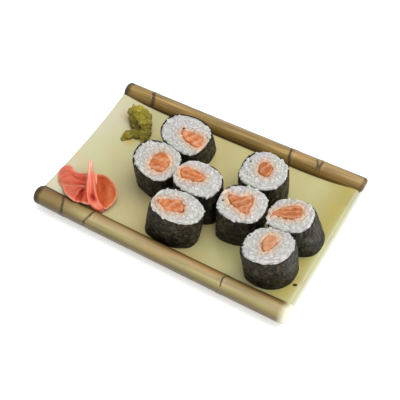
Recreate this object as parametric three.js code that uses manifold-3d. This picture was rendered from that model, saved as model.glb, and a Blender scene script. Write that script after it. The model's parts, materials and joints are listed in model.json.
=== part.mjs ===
// Eight salmon maki, a lump of wasabi and a heap of pickled ginger on a glazed sushi plate
// whose long sides are bamboo-shaped rails. Millimetres, +Z up. X runs along the rails and
// Y from the front rail to the back one. The origin lies under the middle of the plate, on
// the surface that its foot ring stands on.
import * as THREE from 'three';
import { mergeVertices } from 'three/addons/utils/BufferGeometryUtils.js';
import Module from 'manifold-3d';

// ---- driving dimensions ----

const PLATE = {
  length: 182,
  width: 116.4,
  floor: 8.3, // height of the tray's flat middle
  thickness: 4,
  flatLength: 90, // past this the tray curves up to its short ends
  leftRise: 4,
  rightRise: 5,
  endHollow: 1.2, // how much lower the short ends are halfway between the rails
  endBow: 1.5, // how far the short ends curve in, in plan
};
const RAIL = {
  radius: 6.1,
  height: 8.7,
  endRounding: 3,
  lift: 0.6, // how much higher the rails' ends are than their middle
  sides: 14,
  ridge: 0.4, // the swelling on each side of a bamboo node
  groove: 0.3,
  nodeReach: 3, // how far the swelling runs to each side of a node
  grooveReach: 0.9,
  middle: 12, // the straight stretch is divided at this distance from the middle
  frontNodes: [-69, -45, 47.5],
  backNodes: [-68.5, 40, 60.5],
};
const FOOT = { length: 132, width: 74, wall: 5, corner: 14, bevel: 0.8 };

const CONTACT_GAP = 0.3; // between pieces that touch
const ROLL = { points: 36, swelling: 0.06 }; // a facet round a roll is about half a rice grain long
const NORI = { thickness: 0.5, lap: 0.35, lapPoints: 3 };
const RICE = { dome: 1.1, grainBump: 0.45, rimBump: 0.35, rings: 3, unevenness: 0.1, seed: 101 };
const SALMON = { rise: 0.9, crown: 0.5, crownShare: 0.55 }; // how it stands out of the cut

// Each roll stands on one cut end. x, y and height place the middle of its upper cut, and
// tilt is the slope of that cut along X and Y. Its section is a circle pressed oval, egg-shaped
// and square by the amounts given, each turned to an angle in degrees. lean is how far the
// lower end lies from the upper one, and foot how much wider it is. seam is where the sheet's
// end laps over. The salmon's outline is measured from the middle of the upper cut and starts
// at its right-hand end.
const ROLLS = [
  {
    x: -21.3, y: 21.2, height: 23.1, tilt: [-0.146, 0.105], radius: 15.8,
    oval: [0.076, 175], egg: [0.034, 59], square: [0.032, 41], lean: [-0.9, 4.8], foot: 1.007, seam: 60,
    salmon: [[13.4, -2.2], [11, 2], [7, 2.6], [2, 1.3], [-2.4, 0.2], [-1, -2.4], [4, -4.8], [12.4, -4.9]],
  },
  {
    x: -25.4, y: -6.6, height: 24.6, tilt: [-0.104, 0.099], radius: 15,
    oval: [0.068, 166], egg: [0.036, 52], square: [0.03, 39], lean: [-1.3, 1.6], foot: 0.997, seam: 212,
    salmon: [[8.8, -1.6], [7, 3], [2.6, 5.6], [-1, 3.6], [-2.2, -1], [-1.2, -5.6], [1.6, -7.4], [6.6, -6.4]],
  },
  {
    x: 5.6, y: -7.8, height: 25.4, tilt: [-0.029, -0.002], radius: 14.7,
    oval: [0.105, 175], egg: [0.019, 103], square: [0.037, 44], lean: [0.8, -2.3], foot: 0.983, seam: 60,
    salmon: [
      [3.6, 1.4], [0.8, 3.5], [-5, 3.6], [-10.4, 3.3],
      [-12.4, 0.4], [-10.4, -3.2], [-6, -4], [0, -2.4],
    ],
  },
  {
    x: 6.1, y: -32.2, height: 27, tilt: [-0.05, 0.06], radius: 14.6,
    oval: [0.19, 4], egg: [0.015, 0], square: [0.036, 45], lean: [-5, -1.8], foot: 1.035, seam: 200,
    salmon: [
      [4.6, -2], [2.8, 1.6], [-0.8, 3.2], [-4.6, 1.4],
      [-12.4, -2.8], [-7.5, -4.8], [-4.6, -5.8], [1, -4],
    ],
  },
  {
    x: 37.2, y: 17.3, height: 24.3, tilt: [0.007, 0.051], radius: 15.2,
    oval: [0.015, 13], egg: [0.015, 116], square: [0.033, 43], lean: [-0.1, 0.4], foot: 0.998, seam: 150,
    salmon: [[4.6, -0.4], [3.8, 3], [0.8, 5], [-1.6, 5.8], [-3.1, 3.4], [-2.6, -1], [0.6, -3.3], [3.6, -2.8]],
  },
  {
    x: 38.4, y: -11.3, height: 25.7, tilt: [-0.093, 0.049], radius: 14.6,
    oval: [0.068, 28], egg: [0.002, 18], square: [0.035, 52], lean: [-1.6, -1], foot: 0.972, seam: 230,
    salmon: [
      [5.2, -0.6], [4.5, 4.2], [2.8, 6.2], [0.2, 5.2], [-2.2, 2.4], [-5.4, 1.8],
      [-9.4, 1.2], [-9, -1.2], [-5.9, -3.1], [-1.7, -4.7], [3.6, -5.7], [5.7, -4.8],
    ],
  },
  {
    x: 67.2, y: -4.4, height: 24.4, tilt: [0.102, -0.036], radius: 14,
    oval: [0.046, 23], egg: [0.007, 113], square: [0.037, 50], lean: [6.2, 1.7], foot: 1.01, seam: 60,
    salmon: [
      [5.6, 1.2], [4.6, 5.2], [2, 7.8], [-1.4, 6.5],
      [-4.7, 4], [-10.4, -4.2], [-6.2, -3.9], [2, -2.6],
    ],
  },
  {
    x: 66.5, y: -31.3, height: 27.8, tilt: [0.11, -0.014], radius: 14.6,
    oval: [0.088, 28], egg: [0.018, 23], square: [0.033, 50], lean: [2.1, 0.7], foot: 0.993, seam: 200,
    salmon: [[3, 2.2], [2.6, 5.2], [1, 6.8], [-1.8, 6.3], [-3.4, 3.6], [-2.4, -2], [0, -4.2], [2, -2.6]],
  },
];

// The wasabi is torn off in rough lumps: the middle of each, its half length, half width and
// half height, and the angle that it is turned to in degrees.
const WASABI = {
  seed: 4127,
  roughness: 0.16,
  lumps: [
    { at: [-72.2, 32.3, 14.6], size: [3.8, 3.8, 4.6], turn: 0 },
    { at: [-68.4, 34, 15.8], size: [5.2, 4.4, 5.2], turn: 30 },
    { at: [-62, 32, 15.2], size: [5.6, 4.8, 5.2], turn: 70 },
    { at: [-63.4, 27.8, 14.8], size: [5.6, 5, 5], turn: 20 },
    { at: [-61.8, 21.8, 12], size: [7, 5.6, 4.4], turn: 110 },
    { at: [-64.2, 15, 10.4], size: [6, 4.2, 3], turn: 31 },
    { at: [-57.6, 23.6, 12.4], size: [4.8, 6.8, 5], turn: 0 },
    { at: [-67.2, 26, 12.4], size: [4.6, 6.2, 4.8], turn: 30 },
  ],
};

// The ginger is cut in thin slices. A fan spreads from its root between two angles in degrees,
// as far as reach says on the way round, and is pleated along its length. rise is the height
// of its root and rim above the tray.
const GINGER = {
  thickness: 1.1,
  rootRadius: 2, // an open fan is cut off this far from its root
  foldSteepness: 0.25, // how upright the sides of a fold stand, for each millimetre of its depth
  fans: [
    {
      root: [-64, -32.6], from: 118, to: 218, reach: [6, 7.6, 12, 21, 22.4, 21, 17.4],
      rootRise: 6, rimRise: [4.6, 4.2, 2.6, 1.2, 1, 0.8, 0.4], pleats: 3.5, pleatDepth: 1.8, steps: [14, 6],
    },
    {
      root: [-57.4, -45.3], from: 118, to: 181, reach: [13.4, 12.8, 14, 17, 20.6, 18.4],
      rootRise: 4.2, rimRise: [7, 8.2, 6.4, 5.6, 3.4, 3], pleats: 2.5, pleatDepth: 2, steps: [12, 5],
    },
    {
      root: [-61.6, -28], from: -50, to: 50, reach: [5.6, 5.4, 5, 3.8],
      rootRise: 7, rimRise: [5.6, 5.6, 6.6, 6.4], pleats: 1.5, pleatDepth: 0.7, steps: [8, 4],
    },
  ],
  // A slice curled into a cup, which spreads all the way round its middle.
  cup: {
    root: [-52.6, -31.8], from: 0, to: 360, reach: [11.8, 9.6, 8.4, 9.6, 7.4, 4.4, 4.6, 7.8, 15.4, 11.8],
    rootRise: 0.2, rimRise: [6.6, 8.4, 8, 6, 3.8, 3, 3.4, 3, 4.6, 6.6],
    pleats: 4, pleatDepth: 1, steps: [20, 5],
  },
  // A slice folded lengthwise into a standing trough, with a thin tail at its far end.
  trough: {
    spine: [[-70.5, -20.9], [-65.6, -26.6], [-59.2, -35.3], [-54.4, -40.9], [-50, -43.6], [-44.6, -44.2]],
    lipRise: [11, 9.6, 10.2, 9.4, 5.6, 2.2],
    foldRise: [10.6, 7.4, 1, 0.4, 0.4, 0.3],
    halfWidth: [1, 1.4, 1.8, 1.9, 1.7, 1.2],
    steps: [14, 6],
  },
};

// ---- seeded chance, so that every build gives the same bumps ----

function seededChance(seed) {
  let state = seed;
  return () => {
    state = (state * 16807) % 2147483647;
    return state / 2147483647;
  };
}

// ---- shared geometry ----

const radians = THREE.MathUtils.degToRad;

// Merges the shared vertices, drops collapsed triangles and turns the faces outwards.
function closedBody(geometry) {
  const bare = geometry.index ? geometry.toNonIndexed() : geometry.clone();
  for (const name of Object.keys(bare.attributes)) {
    if (name !== 'position') bare.deleteAttribute(name);
  }
  const merged = mergeVertices(bare, 1e-3);
  const kept = [];
  const corners = [new THREE.Vector3(), new THREE.Vector3(), new THREE.Vector3()];
  let volume = 0;
  for (let i = 0; i < merged.index.count; i += 3) {
    const triangle = [0, 1, 2].map((k) => merged.index.getX(i + k));
    if (new Set(triangle).size < 3) continue;
    kept.push(...triangle);
    triangle.forEach((vertex, k) => corners[k].fromBufferAttribute(merged.attributes.position, vertex));
    volume += corners[0].dot(corners[1].cross(corners[2]));
  }
  if (volume < 0) kept.reverse();
  merged.setIndex(kept);
  return merged;
}

function fromTriangles(points, triangles) {
  const geometry = new THREE.BufferGeometry().setFromPoints(points);
  geometry.setIndex(triangles);
  return closedBody(geometry);
}

// Joins a row of rings, each with as many points as the next. A row either closes on itself,
// like a pipe's wall, or its first and last rings are filled in.
function loft(rings, closesOnItself) {
  const count = rings[0].length;
  const points = rings.flat();
  const triangles = [];
  const last = closesOnItself ? rings.length : rings.length - 1;
  for (let r = 0; r < last; r += 1) {
    const here = r * count;
    const there = ((r + 1) % rings.length) * count;
    for (let k = 0; k < count; k += 1) {
      const next = (k + 1) % count;
      triangles.push(here + k, here + next, there + next, here + k, there + next, there + k);
    }
  }
  if (!closesOnItself) {
    fillRing(points, triangles, 0, count, true);
    fillRing(points, triangles, (rings.length - 1) * count, count, false);
  }
  return fromTriangles(points, triangles);
}

// Fills a ring with a fan round its middle.
function fillRing(points, triangles, start, count, isFirst) {
  const middle = new THREE.Vector3();
  for (let k = 0; k < count; k += 1) middle.add(points[start + k]);
  const centre = points.push(middle.divideScalar(count)) - 1;
  for (let k = 0; k < count; k += 1) {
    const here = start + k;
    const next = start + ((k + 1) % count);
    triangles.push(centre, isFirst ? next : here, isFirst ? here : next);
  }
}

// ---- solids that are joined by manifold-3d ----

const wasm = await Module();
wasm.setup();

function toSolid(geometry) {
  const body = closedBody(geometry);
  return new wasm.Manifold(new wasm.Mesh({
    numProp: 3,
    vertProperties: new Float32Array(body.attributes.position.array),
    triVerts: new Uint32Array(body.index.array),
  }));
}

function toGeometry(solid) {
  const mesh = solid.getMesh();
  const geometry = new THREE.BufferGeometry();
  geometry.setAttribute('position', new THREE.BufferAttribute(new Float32Array(mesh.vertProperties), 3));
  geometry.setIndex(Array.from(mesh.triVerts));
  return geometry;
}

// ---- the plate ----

const railLine = PLATE.width / 2 - RAIL.radius; // distance of each rail's axis from the middle

// Height of the tray's upper face: flat in the middle, rising to the short ends.
function floorHeight(x, y) {
  const flat = PLATE.flatLength / 2;
  const along = Math.max(0, Math.abs(x) - flat) / (PLATE.length / 2 - flat);
  const across = 1 - Math.min(1, (y / railLine) ** 2);
  const rise = x < 0 ? PLATE.leftRise : PLATE.rightRise;
  return PLATE.floor + along * along * (rise - PLATE.endHollow * across);
}

// The tray is a closed outline along X, carried from rail to rail. Its short ends are rounded
// over like the edge of a thrown dish.
function trayGeometry() {
  const steps = 12;
  const stations = 7;
  const rounding = PLATE.thickness / 2;
  const rings = [];
  for (let s = 0; s < stations; s += 1) {
    const y = THREE.MathUtils.lerp(-railLine, railLine, s / (stations - 1));
    const reach = PLATE.length / 2 - PLATE.endBow * (1 - (y / railLine) ** 2) - rounding;
    const upper = [];
    const lower = [];
    for (let i = 0; i <= steps; i += 1) {
      const x = THREE.MathUtils.lerp(-reach, reach, i / steps);
      upper.push(new THREE.Vector3(x, y, floorHeight(x, y)));
      lower.unshift(new THREE.Vector3(x, y, floorHeight(x, y) - PLATE.thickness));
    }
    rings.push([...upper, ...roundedEnd(reach, y, 1), ...lower, ...roundedEnd(-reach, y, -1)]);
  }
  return loftWithFlatSides(rings);
}

// Three points round the tray's short end, listed in the outline's own direction.
function roundedEnd(x, y, side) {
  const middle = floorHeight(x, y) - PLATE.thickness / 2;
  return [45, 90, 135].map((turn) => {
    const angle = radians(turn);
    const out = side * Math.sin(angle) * (PLATE.thickness / 2);
    return new THREE.Vector3(x + out, y, middle + side * Math.cos(angle) * (PLATE.thickness / 2));
  });
}

// Like loft, but the two ends are long curved outlines, so they are filled as flat shapes.
function loftWithFlatSides(rings) {
  const count = rings[0].length;
  const points = rings.flat();
  const triangles = [];
  for (let r = 0; r < rings.length - 1; r += 1) {
    for (let k = 0; k < count; k += 1) {
      const next = (k + 1) % count;
      const here = r * count;
      const there = here + count;
      triangles.push(here + k, there + next, here + next, here + k, there + k, there + next);
    }
  }
  const outline = rings[0].map((point) => new THREE.Vector2(point.x, point.z));
  const last = (rings.length - 1) * count;
  for (const flat of THREE.ShapeUtils.triangulateShape(outline.slice(), [])) {
    const turn = THREE.ShapeUtils.area(flat.map((k) => outline[k])) * THREE.ShapeUtils.area(outline);
    const forwards = turn > 0 ? flat : flat.toReversed();
    triangles.push(...forwards, ...forwards.toReversed().map((k) => k + last));
  }
  return fromTriangles(points, triangles);
}

// A bamboo-shaped rail: a turned profile with rounded ends and a swollen, grooved band at
// each node, laid along X and bent up slightly towards its ends.
function railGeometry(nodes, plateSide) {
  const half = PLATE.length / 2;
  const profile = [];
  const roundings = [0, 30, 60, 90].map(radians);
  for (const angle of roundings) {
    profile.push([-half + RAIL.endRounding * (1 - Math.sin(angle)), endRadius(angle)]);
  }
  for (const x of nodes) {
    for (const side of [-1, 1]) {
      profile.push([x + side * RAIL.nodeReach, RAIL.radius]);
      profile.push([x + side * RAIL.grooveReach, RAIL.radius + RAIL.ridge]);
    }
    profile.push([x, RAIL.radius - RAIL.groove]);
  }
  for (const x of [-RAIL.middle, RAIL.middle]) profile.push([x, RAIL.radius]);
  for (const angle of roundings) {
    profile.push([half - RAIL.endRounding * (1 - Math.sin(angle)), endRadius(angle)]);
  }
  profile.sort((a, b) => a[0] - b[0]);
  const outline = profile.map(([x, radius]) => new THREE.Vector2(radius, x));
  outline.unshift(new THREE.Vector2(0, -half));
  outline.push(new THREE.Vector2(0, half));
  const rail = new THREE.LatheGeometry(outline, RAIL.sides);
  rail.rotateZ(-Math.PI / 2);
  const position = rail.attributes.position;
  for (let i = 0; i < position.count; i += 1) {
    const bend = RAIL.lift * (position.getX(i) / half) ** 2;
    position.setY(i, position.getY(i) + plateSide * railLine);
    position.setZ(i, position.getZ(i) + RAIL.height + bend);
  }
  return rail;
}

function endRadius(angle) {
  return RAIL.radius - RAIL.endRounding * (1 - Math.cos(angle));
}

function roundedRectangle(path, length, width, corner) {
  const x = length / 2;
  const y = width / 2;
  path.moveTo(-x + corner, -y);
  path.lineTo(x - corner, -y);
  path.absarc(x - corner, -y + corner, corner, -Math.PI / 2, 0);
  path.absarc(x - corner, y - corner, corner, 0, Math.PI / 2);
  path.absarc(-x + corner, y - corner, corner, Math.PI / 2, Math.PI);
  path.absarc(-x + corner, -y + corner, corner, Math.PI, Math.PI * 1.5);
  return path;
}

// The ring under the tray that the plate stands on.
function footGeometry() {
  const { length, width, wall, corner, bevel } = FOOT;
  const ring = roundedRectangle(new THREE.Shape(), length, width, corner);
  ring.holes.push(roundedRectangle(new THREE.Path(), length - 2 * wall, width - 2 * wall, corner - wall));
  const foot = new THREE.ExtrudeGeometry(ring, {
    depth: PLATE.floor - PLATE.thickness / 2 - 2 * bevel,
    bevelThickness: bevel,
    bevelSize: bevel,
    bevelOffset: -bevel,
    bevelSegments: 1,
    curveSegments: 5,
  });
  return foot.translate(0, 0, bevel);
}

function plateGeometry() {
  const solid = toSolid(trayGeometry())
    .add(toSolid(railGeometry(RAIL.frontNodes, -1)))
    .add(toSolid(railGeometry(RAIL.backNodes, 1)))
    .add(toSolid(footGeometry()));
  return toGeometry(solid);
}

// ---- the rolls ----

// A roll's section, moved inwards all round by inset. Its breadth from the middle out to the
// edge that faces each direction is a sum of waves, and the outline follows from the breadth
// and its slope, which keeps the section rounded and the inset true.
function rollOutline(roll, inset) {
  const waves = [[2, ...roll.oval], [3, ...roll.egg], [4, ...roll.square]];
  const corners = [];
  for (let k = 0; k < 2 * ROLL.points; k += 1) {
    const angle = (k / ROLL.points) * Math.PI;
    let breadth = roll.radius - inset;
    let slope = 0;
    for (const [times, amount, turn] of waves) {
      const phase = times * (angle - radians(turn));
      breadth += roll.radius * amount * Math.cos(phase);
      slope -= roll.radius * amount * times * Math.sin(phase);
    }
    corners.push(new THREE.Vector2(breadth, slope).rotateAround(new THREE.Vector2(), angle).toArray());
  }
  return smoothOutline(corners, ROLL.points);
}

// The outer face of the sheet, with its overlapping end as a low step.
function sheetOutline(roll) {
  const lapped = rollOutline(roll, -NORI.lap);
  const lapStart = Math.round((roll.seam / 360) * ROLL.points);
  return rollOutline(roll, 0).map((point, k) => {
    const isLap = k >= lapStart && k < lapStart + NORI.lapPoints;
    return isLap ? lapped[k] : point;
  });
}

// Moves a closed outline sideways, outwards for a positive distance.
function offsetOutline(outline, distance) {
  const count = outline.length;
  return outline.map((point, k) => {
    const along = outline[(k + 1) % count].clone().sub(outline[(k + count - 1) % count]).normalize();
    return point.clone().add(new THREE.Vector2(along.y, -along.x).multiplyScalar(distance));
  });
}

function smoothOutline(corners, count) {
  const curve = new THREE.CatmullRomCurve3(corners.map(([x, y]) => new THREE.Vector3(x, y, 0)), true);
  return curve.getSpacedPoints(count).slice(0, count).map((point) => new THREE.Vector2(point.x, point.y));
}

// Places a section's outline in the roll: 0 is the lower cut, on the tray, and 1 the upper.
function placeOutline(roll, outline, level) {
  const swelling = 1 + ROLL.swelling * level * (1 - level);
  const widening = THREE.MathUtils.lerp(roll.foot, 1, level) * swelling;
  const [leanX, leanY] = roll.lean;
  return outline.map((point) => {
    const x = roll.x + point.x * widening + leanX * (1 - level);
    const y = roll.y + point.y * widening + leanY * (1 - level);
    const top = PLATE.floor + roll.height + roll.tilt[0] * point.x + roll.tilt[1] * point.y;
    const bottom = floorHeight(x, y) + CONTACT_GAP;
    return new THREE.Vector3(x, y, THREE.MathUtils.lerp(bottom, top, level));
  });
}

function noriGeometry(roll) {
  const outline = sheetOutline(roll);
  const inner = rollOutline(roll, NORI.thickness);
  const rings = [
    placeOutline(roll, outline, 0),
    placeOutline(roll, outline, 0.5),
    placeOutline(roll, outline, 1),
    placeOutline(roll, inner, 1),
    placeOutline(roll, inner, 0),
  ];
  return loft(rings, true);
}

// The rice fills the sheet and closes round the salmon. Its upper cut is domed and covered in
// bumps of about one grain.
function riceGeometry(roll, hole, chance) {
  const outer = rollOutline(roll, NORI.thickness + CONTACT_GAP);
  const rings = [placeOutline(roll, outer, 0), placeOutline(roll, outer, 1)];
  for (let ring = 1; ring <= RICE.rings; ring += 1) {
    const inwards = ring / (RICE.rings + 1);
    const section = outer.map((point, k) => {
      return point.clone().lerp(hole[k], inwards + RICE.unevenness * (chance() - 0.5));
    });
    const placed = placeOutline(roll, section, 1);
    const dome = RICE.dome * Math.sin(inwards * Math.PI / 2);
    for (const point of placed) point.z += dome + RICE.grainBump * (2 * chance() - 1);
    rings.push(placed);
  }
  const rim = placeOutline(roll, hole, 1);
  for (const point of rim) point.z += RICE.dome + RICE.rimBump * chance();
  rings.push(rim, placeOutline(roll, hole, 0));
  return loft(rings, true);
}

// The strip of salmon runs through the roll, and its upper cut is gently crowned.
function salmonGeometry(roll, outline) {
  const middle = new THREE.Vector2();
  for (const point of outline) middle.addScaledVector(point, 1 / outline.length);
  const crown = [[1, 0], [SALMON.crownShare, SALMON.crown]].map(([share, rise]) => {
    const section = outline.map((point) => point.clone().sub(middle).multiplyScalar(share).add(middle));
    const placed = placeOutline(roll, section, 1);
    for (const point of placed) point.z += SALMON.rise + rise;
    return placed;
  });
  return loft([placeOutline(roll, outline, 0), ...crown], false);
}

// ---- the wasabi ----

function wasabiGeometry() {
  const chance = seededChance(WASABI.seed);
  const solids = WASABI.lumps.map(({ at, size, turn }) => {
    const lump = closedBody(new THREE.IcosahedronGeometry(1, 1));
    const position = lump.attributes.position;
    const place = new THREE.Matrix4().makeRotationZ(radians(turn)).setPosition(...at);
    const point = new THREE.Vector3();
    for (let i = 0; i < position.count; i += 1) {
      point.fromBufferAttribute(position, i).multiplyScalar(1 + WASABI.roughness * (2 * chance() - 1));
      point.multiply(new THREE.Vector3(...size)).applyMatrix4(place);
      point.z = Math.max(point.z, floorHeight(point.x, point.y) + CONTACT_GAP);
      position.setXYZ(i, point.x, point.y, point.z);
    }
    return toSolid(lump);
  });
  return toGeometry(solids.reduce((whole, lump) => whole.add(lump)));
}

// ---- the ginger ----

// A value that runs smoothly through the ones listed, as t goes from 0 to 1.
function smoothValue(values, t) {
  return new THREE.SplineCurve(values.map((value, k) => new THREE.Vector2(k, value))).getPoint(t).y;
}

// Gives a surface its thickness. surface(across, along) is its middle, with both from 0 to 1.
// A round surface starts at a single point, and its last column meets its first.
function sheetGeometry(surface, [across, along], isRound) {
  const columns = isRound ? across : across + 1;
  const rows = along + 1;
  const clamp = (c) => (isRound ? (c + columns) % columns : THREE.MathUtils.clamp(c, 0, columns - 1));
  const middle = (c, r) => surface(clamp(c) / across, THREE.MathUtils.clamp(r, 0, along) / along);
  const normal = (c, r) => {
    const sideways = middle(c + 1, r).sub(middle(c - 1, r));
    return sideways.cross(middle(c, r + 1).sub(middle(c, r - 1))).normalize();
  };
  const pole = new THREE.Vector3();
  for (let c = 0; c < columns; c += 1) pole.add(normal(c, 1));
  pole.normalize();
  const points = [];
  for (const side of [1, -1]) {
    for (let c = 0; c < columns; c += 1) {
      for (let r = 0; r < rows; r += 1) {
        const outwards = isRound && r === 0 ? pole : normal(c, r);
        points.push(middle(c, r).addScaledVector(outwards, side * GINGER.thickness / 2));
      }
    }
  }
  const triangles = [];
  const upper = (c, r) => clamp(c) * rows + r;
  const lower = (c, r) => upper(c, r) + columns * rows;
  const wall = (c, r, nextC, nextR) => triangles.push(
    upper(c, r), lower(nextC, nextR), upper(nextC, nextR),
    upper(c, r), lower(c, r), lower(nextC, nextR),
  );
  for (let c = 0; c < across; c += 1) {
    for (let r = 0; r < along; r += 1) {
      triangles.push(upper(c, r), upper(c + 1, r), upper(c + 1, r + 1));
      triangles.push(upper(c, r), upper(c + 1, r + 1), upper(c, r + 1));
      triangles.push(lower(c, r), lower(c + 1, r + 1), lower(c + 1, r));
      triangles.push(lower(c, r), lower(c, r + 1), lower(c + 1, r + 1));
    }
    wall(c + 1, along, c, along);
    if (!isRound) wall(c, 0, c + 1, 0);
  }
  for (let r = 0; r < along && !isRound; r += 1) {
    wall(0, r + 1, 0, r);
    wall(columns - 1, r, columns - 1, r + 1);
  }
  return fromTriangles(points, triangles);
}

// Height of a slice's middle where it lies flat on the tray.
function restingHeight(x, y) {
  return floorHeight(x, y) + CONTACT_GAP + GINGER.thickness / 2;
}

function fanGeometry(fan, isRound) {
  const start = isRound ? 0 : GINGER.rootRadius;
  const surface = (across, share) => {
    const angle = radians(THREE.MathUtils.lerp(fan.from, fan.to, across));
    const distance = THREE.MathUtils.lerp(start, smoothValue(fan.reach, across), share);
    const x = fan.root[0] + distance * Math.cos(angle);
    const y = fan.root[1] + distance * Math.sin(angle);
    const bowl = isRound ? share ** 2 : share;
    const rise = THREE.MathUtils.lerp(fan.rootRise, smoothValue(fan.rimRise, across), bowl);
    const pleat = fan.pleatDepth * share * (1 + Math.cos(across * fan.pleats * 2 * Math.PI)) / 2;
    return new THREE.Vector3(x, y, restingHeight(x, y) + rise + pleat);
  };
  return sheetGeometry(surface, fan.steps, isRound);
}

function troughGeometry(trough) {
  const spine = new THREE.CatmullRomCurve3(trough.spine.map(([x, y]) => new THREE.Vector3(x, y, 0)));
  const surface = (across, along) => {
    const side = 2 * along - 1; // -1 and 1 are the lips, and 0 is the fold between them
    const tangent = spine.getTangent(across);
    const sideways = new THREE.Vector3(tangent.y, -tangent.x, 0);
    const fold = smoothValue(trough.foldRise, across);
    const lip = smoothValue(trough.lipRise, across);
    const steepness = GINGER.foldSteepness * (lip - fold);
    const width = smoothValue(trough.halfWidth, across) * Math.tanh(steepness * side) / Math.tanh(steepness);
    const point = spine.getPoint(across).addScaledVector(sideways, width);
    const rise = THREE.MathUtils.lerp(fold, lip, side ** 2);
    point.z = restingHeight(point.x, point.y) + rise;
    return point;
  };
  return sheetGeometry(surface, trough.steps, false);
}

// ---- the scene graph ----

const whole = new THREE.Group();

function addPiece(name, geometry, material) {
  const piece = new THREE.Mesh(geometry, material);
  piece.name = name;
  whole.add(piece);
}

function finish(color, roughness) {
  return new THREE.MeshStandardMaterial({ color, roughness, metalness: 0 });
}

const glaze = finish('#cfc48c', 0.15);
const nori = finish('#23241c', 0.6);
const rice = finish('#d8d5d0', 0.5);
const salmon = finish('#d98350', 0.4);
const wasabi = finish('#8f8a2c', 0.7);
const ginger = finish('#dd6a58', 0.4);

addPiece('plate', plateGeometry(), glaze);
ROLLS.forEach((roll, index) => {
  const number = index + 1;
  const hole = smoothOutline(roll.salmon, ROLL.points);
  const fish = hole.filter((point, k) => k % 2 === 0);
  const chance = seededChance(RICE.seed * number);
  addPiece(`nori_${number}`, noriGeometry(roll), nori);
  addPiece(`rice_${number}`, riceGeometry(roll, offsetOutline(hole, CONTACT_GAP), chance), rice);
  addPiece(`salmon_${number}`, salmonGeometry(roll, fish), salmon);
});
addPiece('wasabi', wasabiGeometry(), wasabi);
GINGER.fans.forEach((fan, index) => {
  addPiece(`ginger_fan_${index + 1}`, fanGeometry(fan, false), ginger);
});
addPiece('ginger_cup', fanGeometry(GINGER.cup, true), ginger);
addPiece('ginger_trough', troughGeometry(GINGER.trough), ginger);

export default whole;
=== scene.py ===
import json
import math
from contextlib import contextmanager

import bmesh
import bpy
from mathutils import Matrix, Vector, kdtree, noise

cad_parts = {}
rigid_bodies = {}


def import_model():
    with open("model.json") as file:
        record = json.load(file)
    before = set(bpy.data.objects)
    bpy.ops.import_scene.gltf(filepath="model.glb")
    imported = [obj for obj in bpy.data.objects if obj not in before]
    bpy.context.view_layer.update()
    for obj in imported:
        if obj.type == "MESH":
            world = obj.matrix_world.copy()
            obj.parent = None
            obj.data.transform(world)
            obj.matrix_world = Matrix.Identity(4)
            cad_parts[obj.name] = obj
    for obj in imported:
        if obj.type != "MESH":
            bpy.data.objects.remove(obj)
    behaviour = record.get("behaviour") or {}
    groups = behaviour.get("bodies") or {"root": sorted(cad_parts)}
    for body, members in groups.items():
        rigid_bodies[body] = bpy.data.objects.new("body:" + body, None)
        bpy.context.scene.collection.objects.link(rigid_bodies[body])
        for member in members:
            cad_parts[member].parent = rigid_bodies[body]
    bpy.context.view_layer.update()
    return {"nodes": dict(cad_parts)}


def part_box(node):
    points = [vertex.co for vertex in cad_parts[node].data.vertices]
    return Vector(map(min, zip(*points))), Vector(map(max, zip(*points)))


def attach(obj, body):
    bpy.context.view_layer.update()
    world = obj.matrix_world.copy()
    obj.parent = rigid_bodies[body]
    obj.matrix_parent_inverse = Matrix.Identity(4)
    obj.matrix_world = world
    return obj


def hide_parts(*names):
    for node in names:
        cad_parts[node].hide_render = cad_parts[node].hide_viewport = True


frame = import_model()

# ---- the table, the light and the camera ----
# The plate stands on a plain pale table. A large soft light hangs high behind its right end, and
# a weak one fills in from the front left. The camera stands at the front right and looks down.

MM = 0.001
TABLE_SIZE = 6.0
VIEW = {"azimuth": 36.005, "elevation": 53.617, "roll": -5.99, "distance": 0.5204}
VIEW_LENS = 72.08
VIEW_SHIFT = (-0.0007, -0.0022)


def add_node(tree, kind, inputs=None, **settings):
    """Adds a node. inputs gives a socket's name or number a value, or the socket that feeds it."""
    made = tree.nodes.new(kind)
    for name, value in settings.items():
        setattr(made, name, value)
    for socket, value in (inputs or {}).items():
        if isinstance(value, bpy.types.NodeSocket):
            tree.links.new(value, made.inputs[socket])
        else:
            made.inputs[socket].default_value = value
    return made


def paint(red, green, blue):
    """A colour named by its brightness from 0 to 255, in the light values that a shader takes."""
    return tuple((value / 255) ** 2.2 for value in (red, green, blue)) + (1.0,)


def new_material(name, **constants):
    """A material with a bare Principled shader. Returns the material, its tree and the shader."""
    material = bpy.data.materials.new(name)
    material.use_nodes = True
    tree = material.node_tree
    tree.nodes.clear()
    shader = add_node(tree, "ShaderNodeBsdfPrincipled")
    for socket, value in constants.items():
        shader.inputs[socket.replace("_", " ")].default_value = value
    add_node(tree, "ShaderNodeOutputMaterial", {"Surface": shader.outputs["BSDF"]})
    return material, tree, shader


def mesh_object(name, points, faces):
    mesh = bpy.data.meshes.new(name)
    mesh.from_pydata(points, [], faces)
    piece = bpy.data.objects.new(name, mesh)
    bpy.context.scene.collection.objects.link(piece)
    return piece


def soft_light(name, energy, size, place):
    """A square lamp that faces the middle of the plate."""
    lamp = bpy.data.lights.new(name, "AREA")
    lamp.energy = energy
    lamp.size = size
    light = bpy.data.objects.new(name, lamp)
    light.location = place
    light.rotation_euler = Vector(place).to_track_quat("Z", "Y").to_euler()
    bpy.context.scene.collection.objects.link(light)


half = TABLE_SIZE / 2
table_corners = [(-half, -half, 0), (half, -half, 0), (half, half, 0), (-half, half, 0)]
table_top = mesh_object("table_top", table_corners, [(0, 1, 2, 3)])
table_white, _, _ = new_material(
    "table_white", Base_Color=paint(255, 255, 254), Roughness=0.9,
    Emission_Color=(1, 1, 1, 1), Emission_Strength=0.35,
)
table_top.data.materials.append(table_white)

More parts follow.
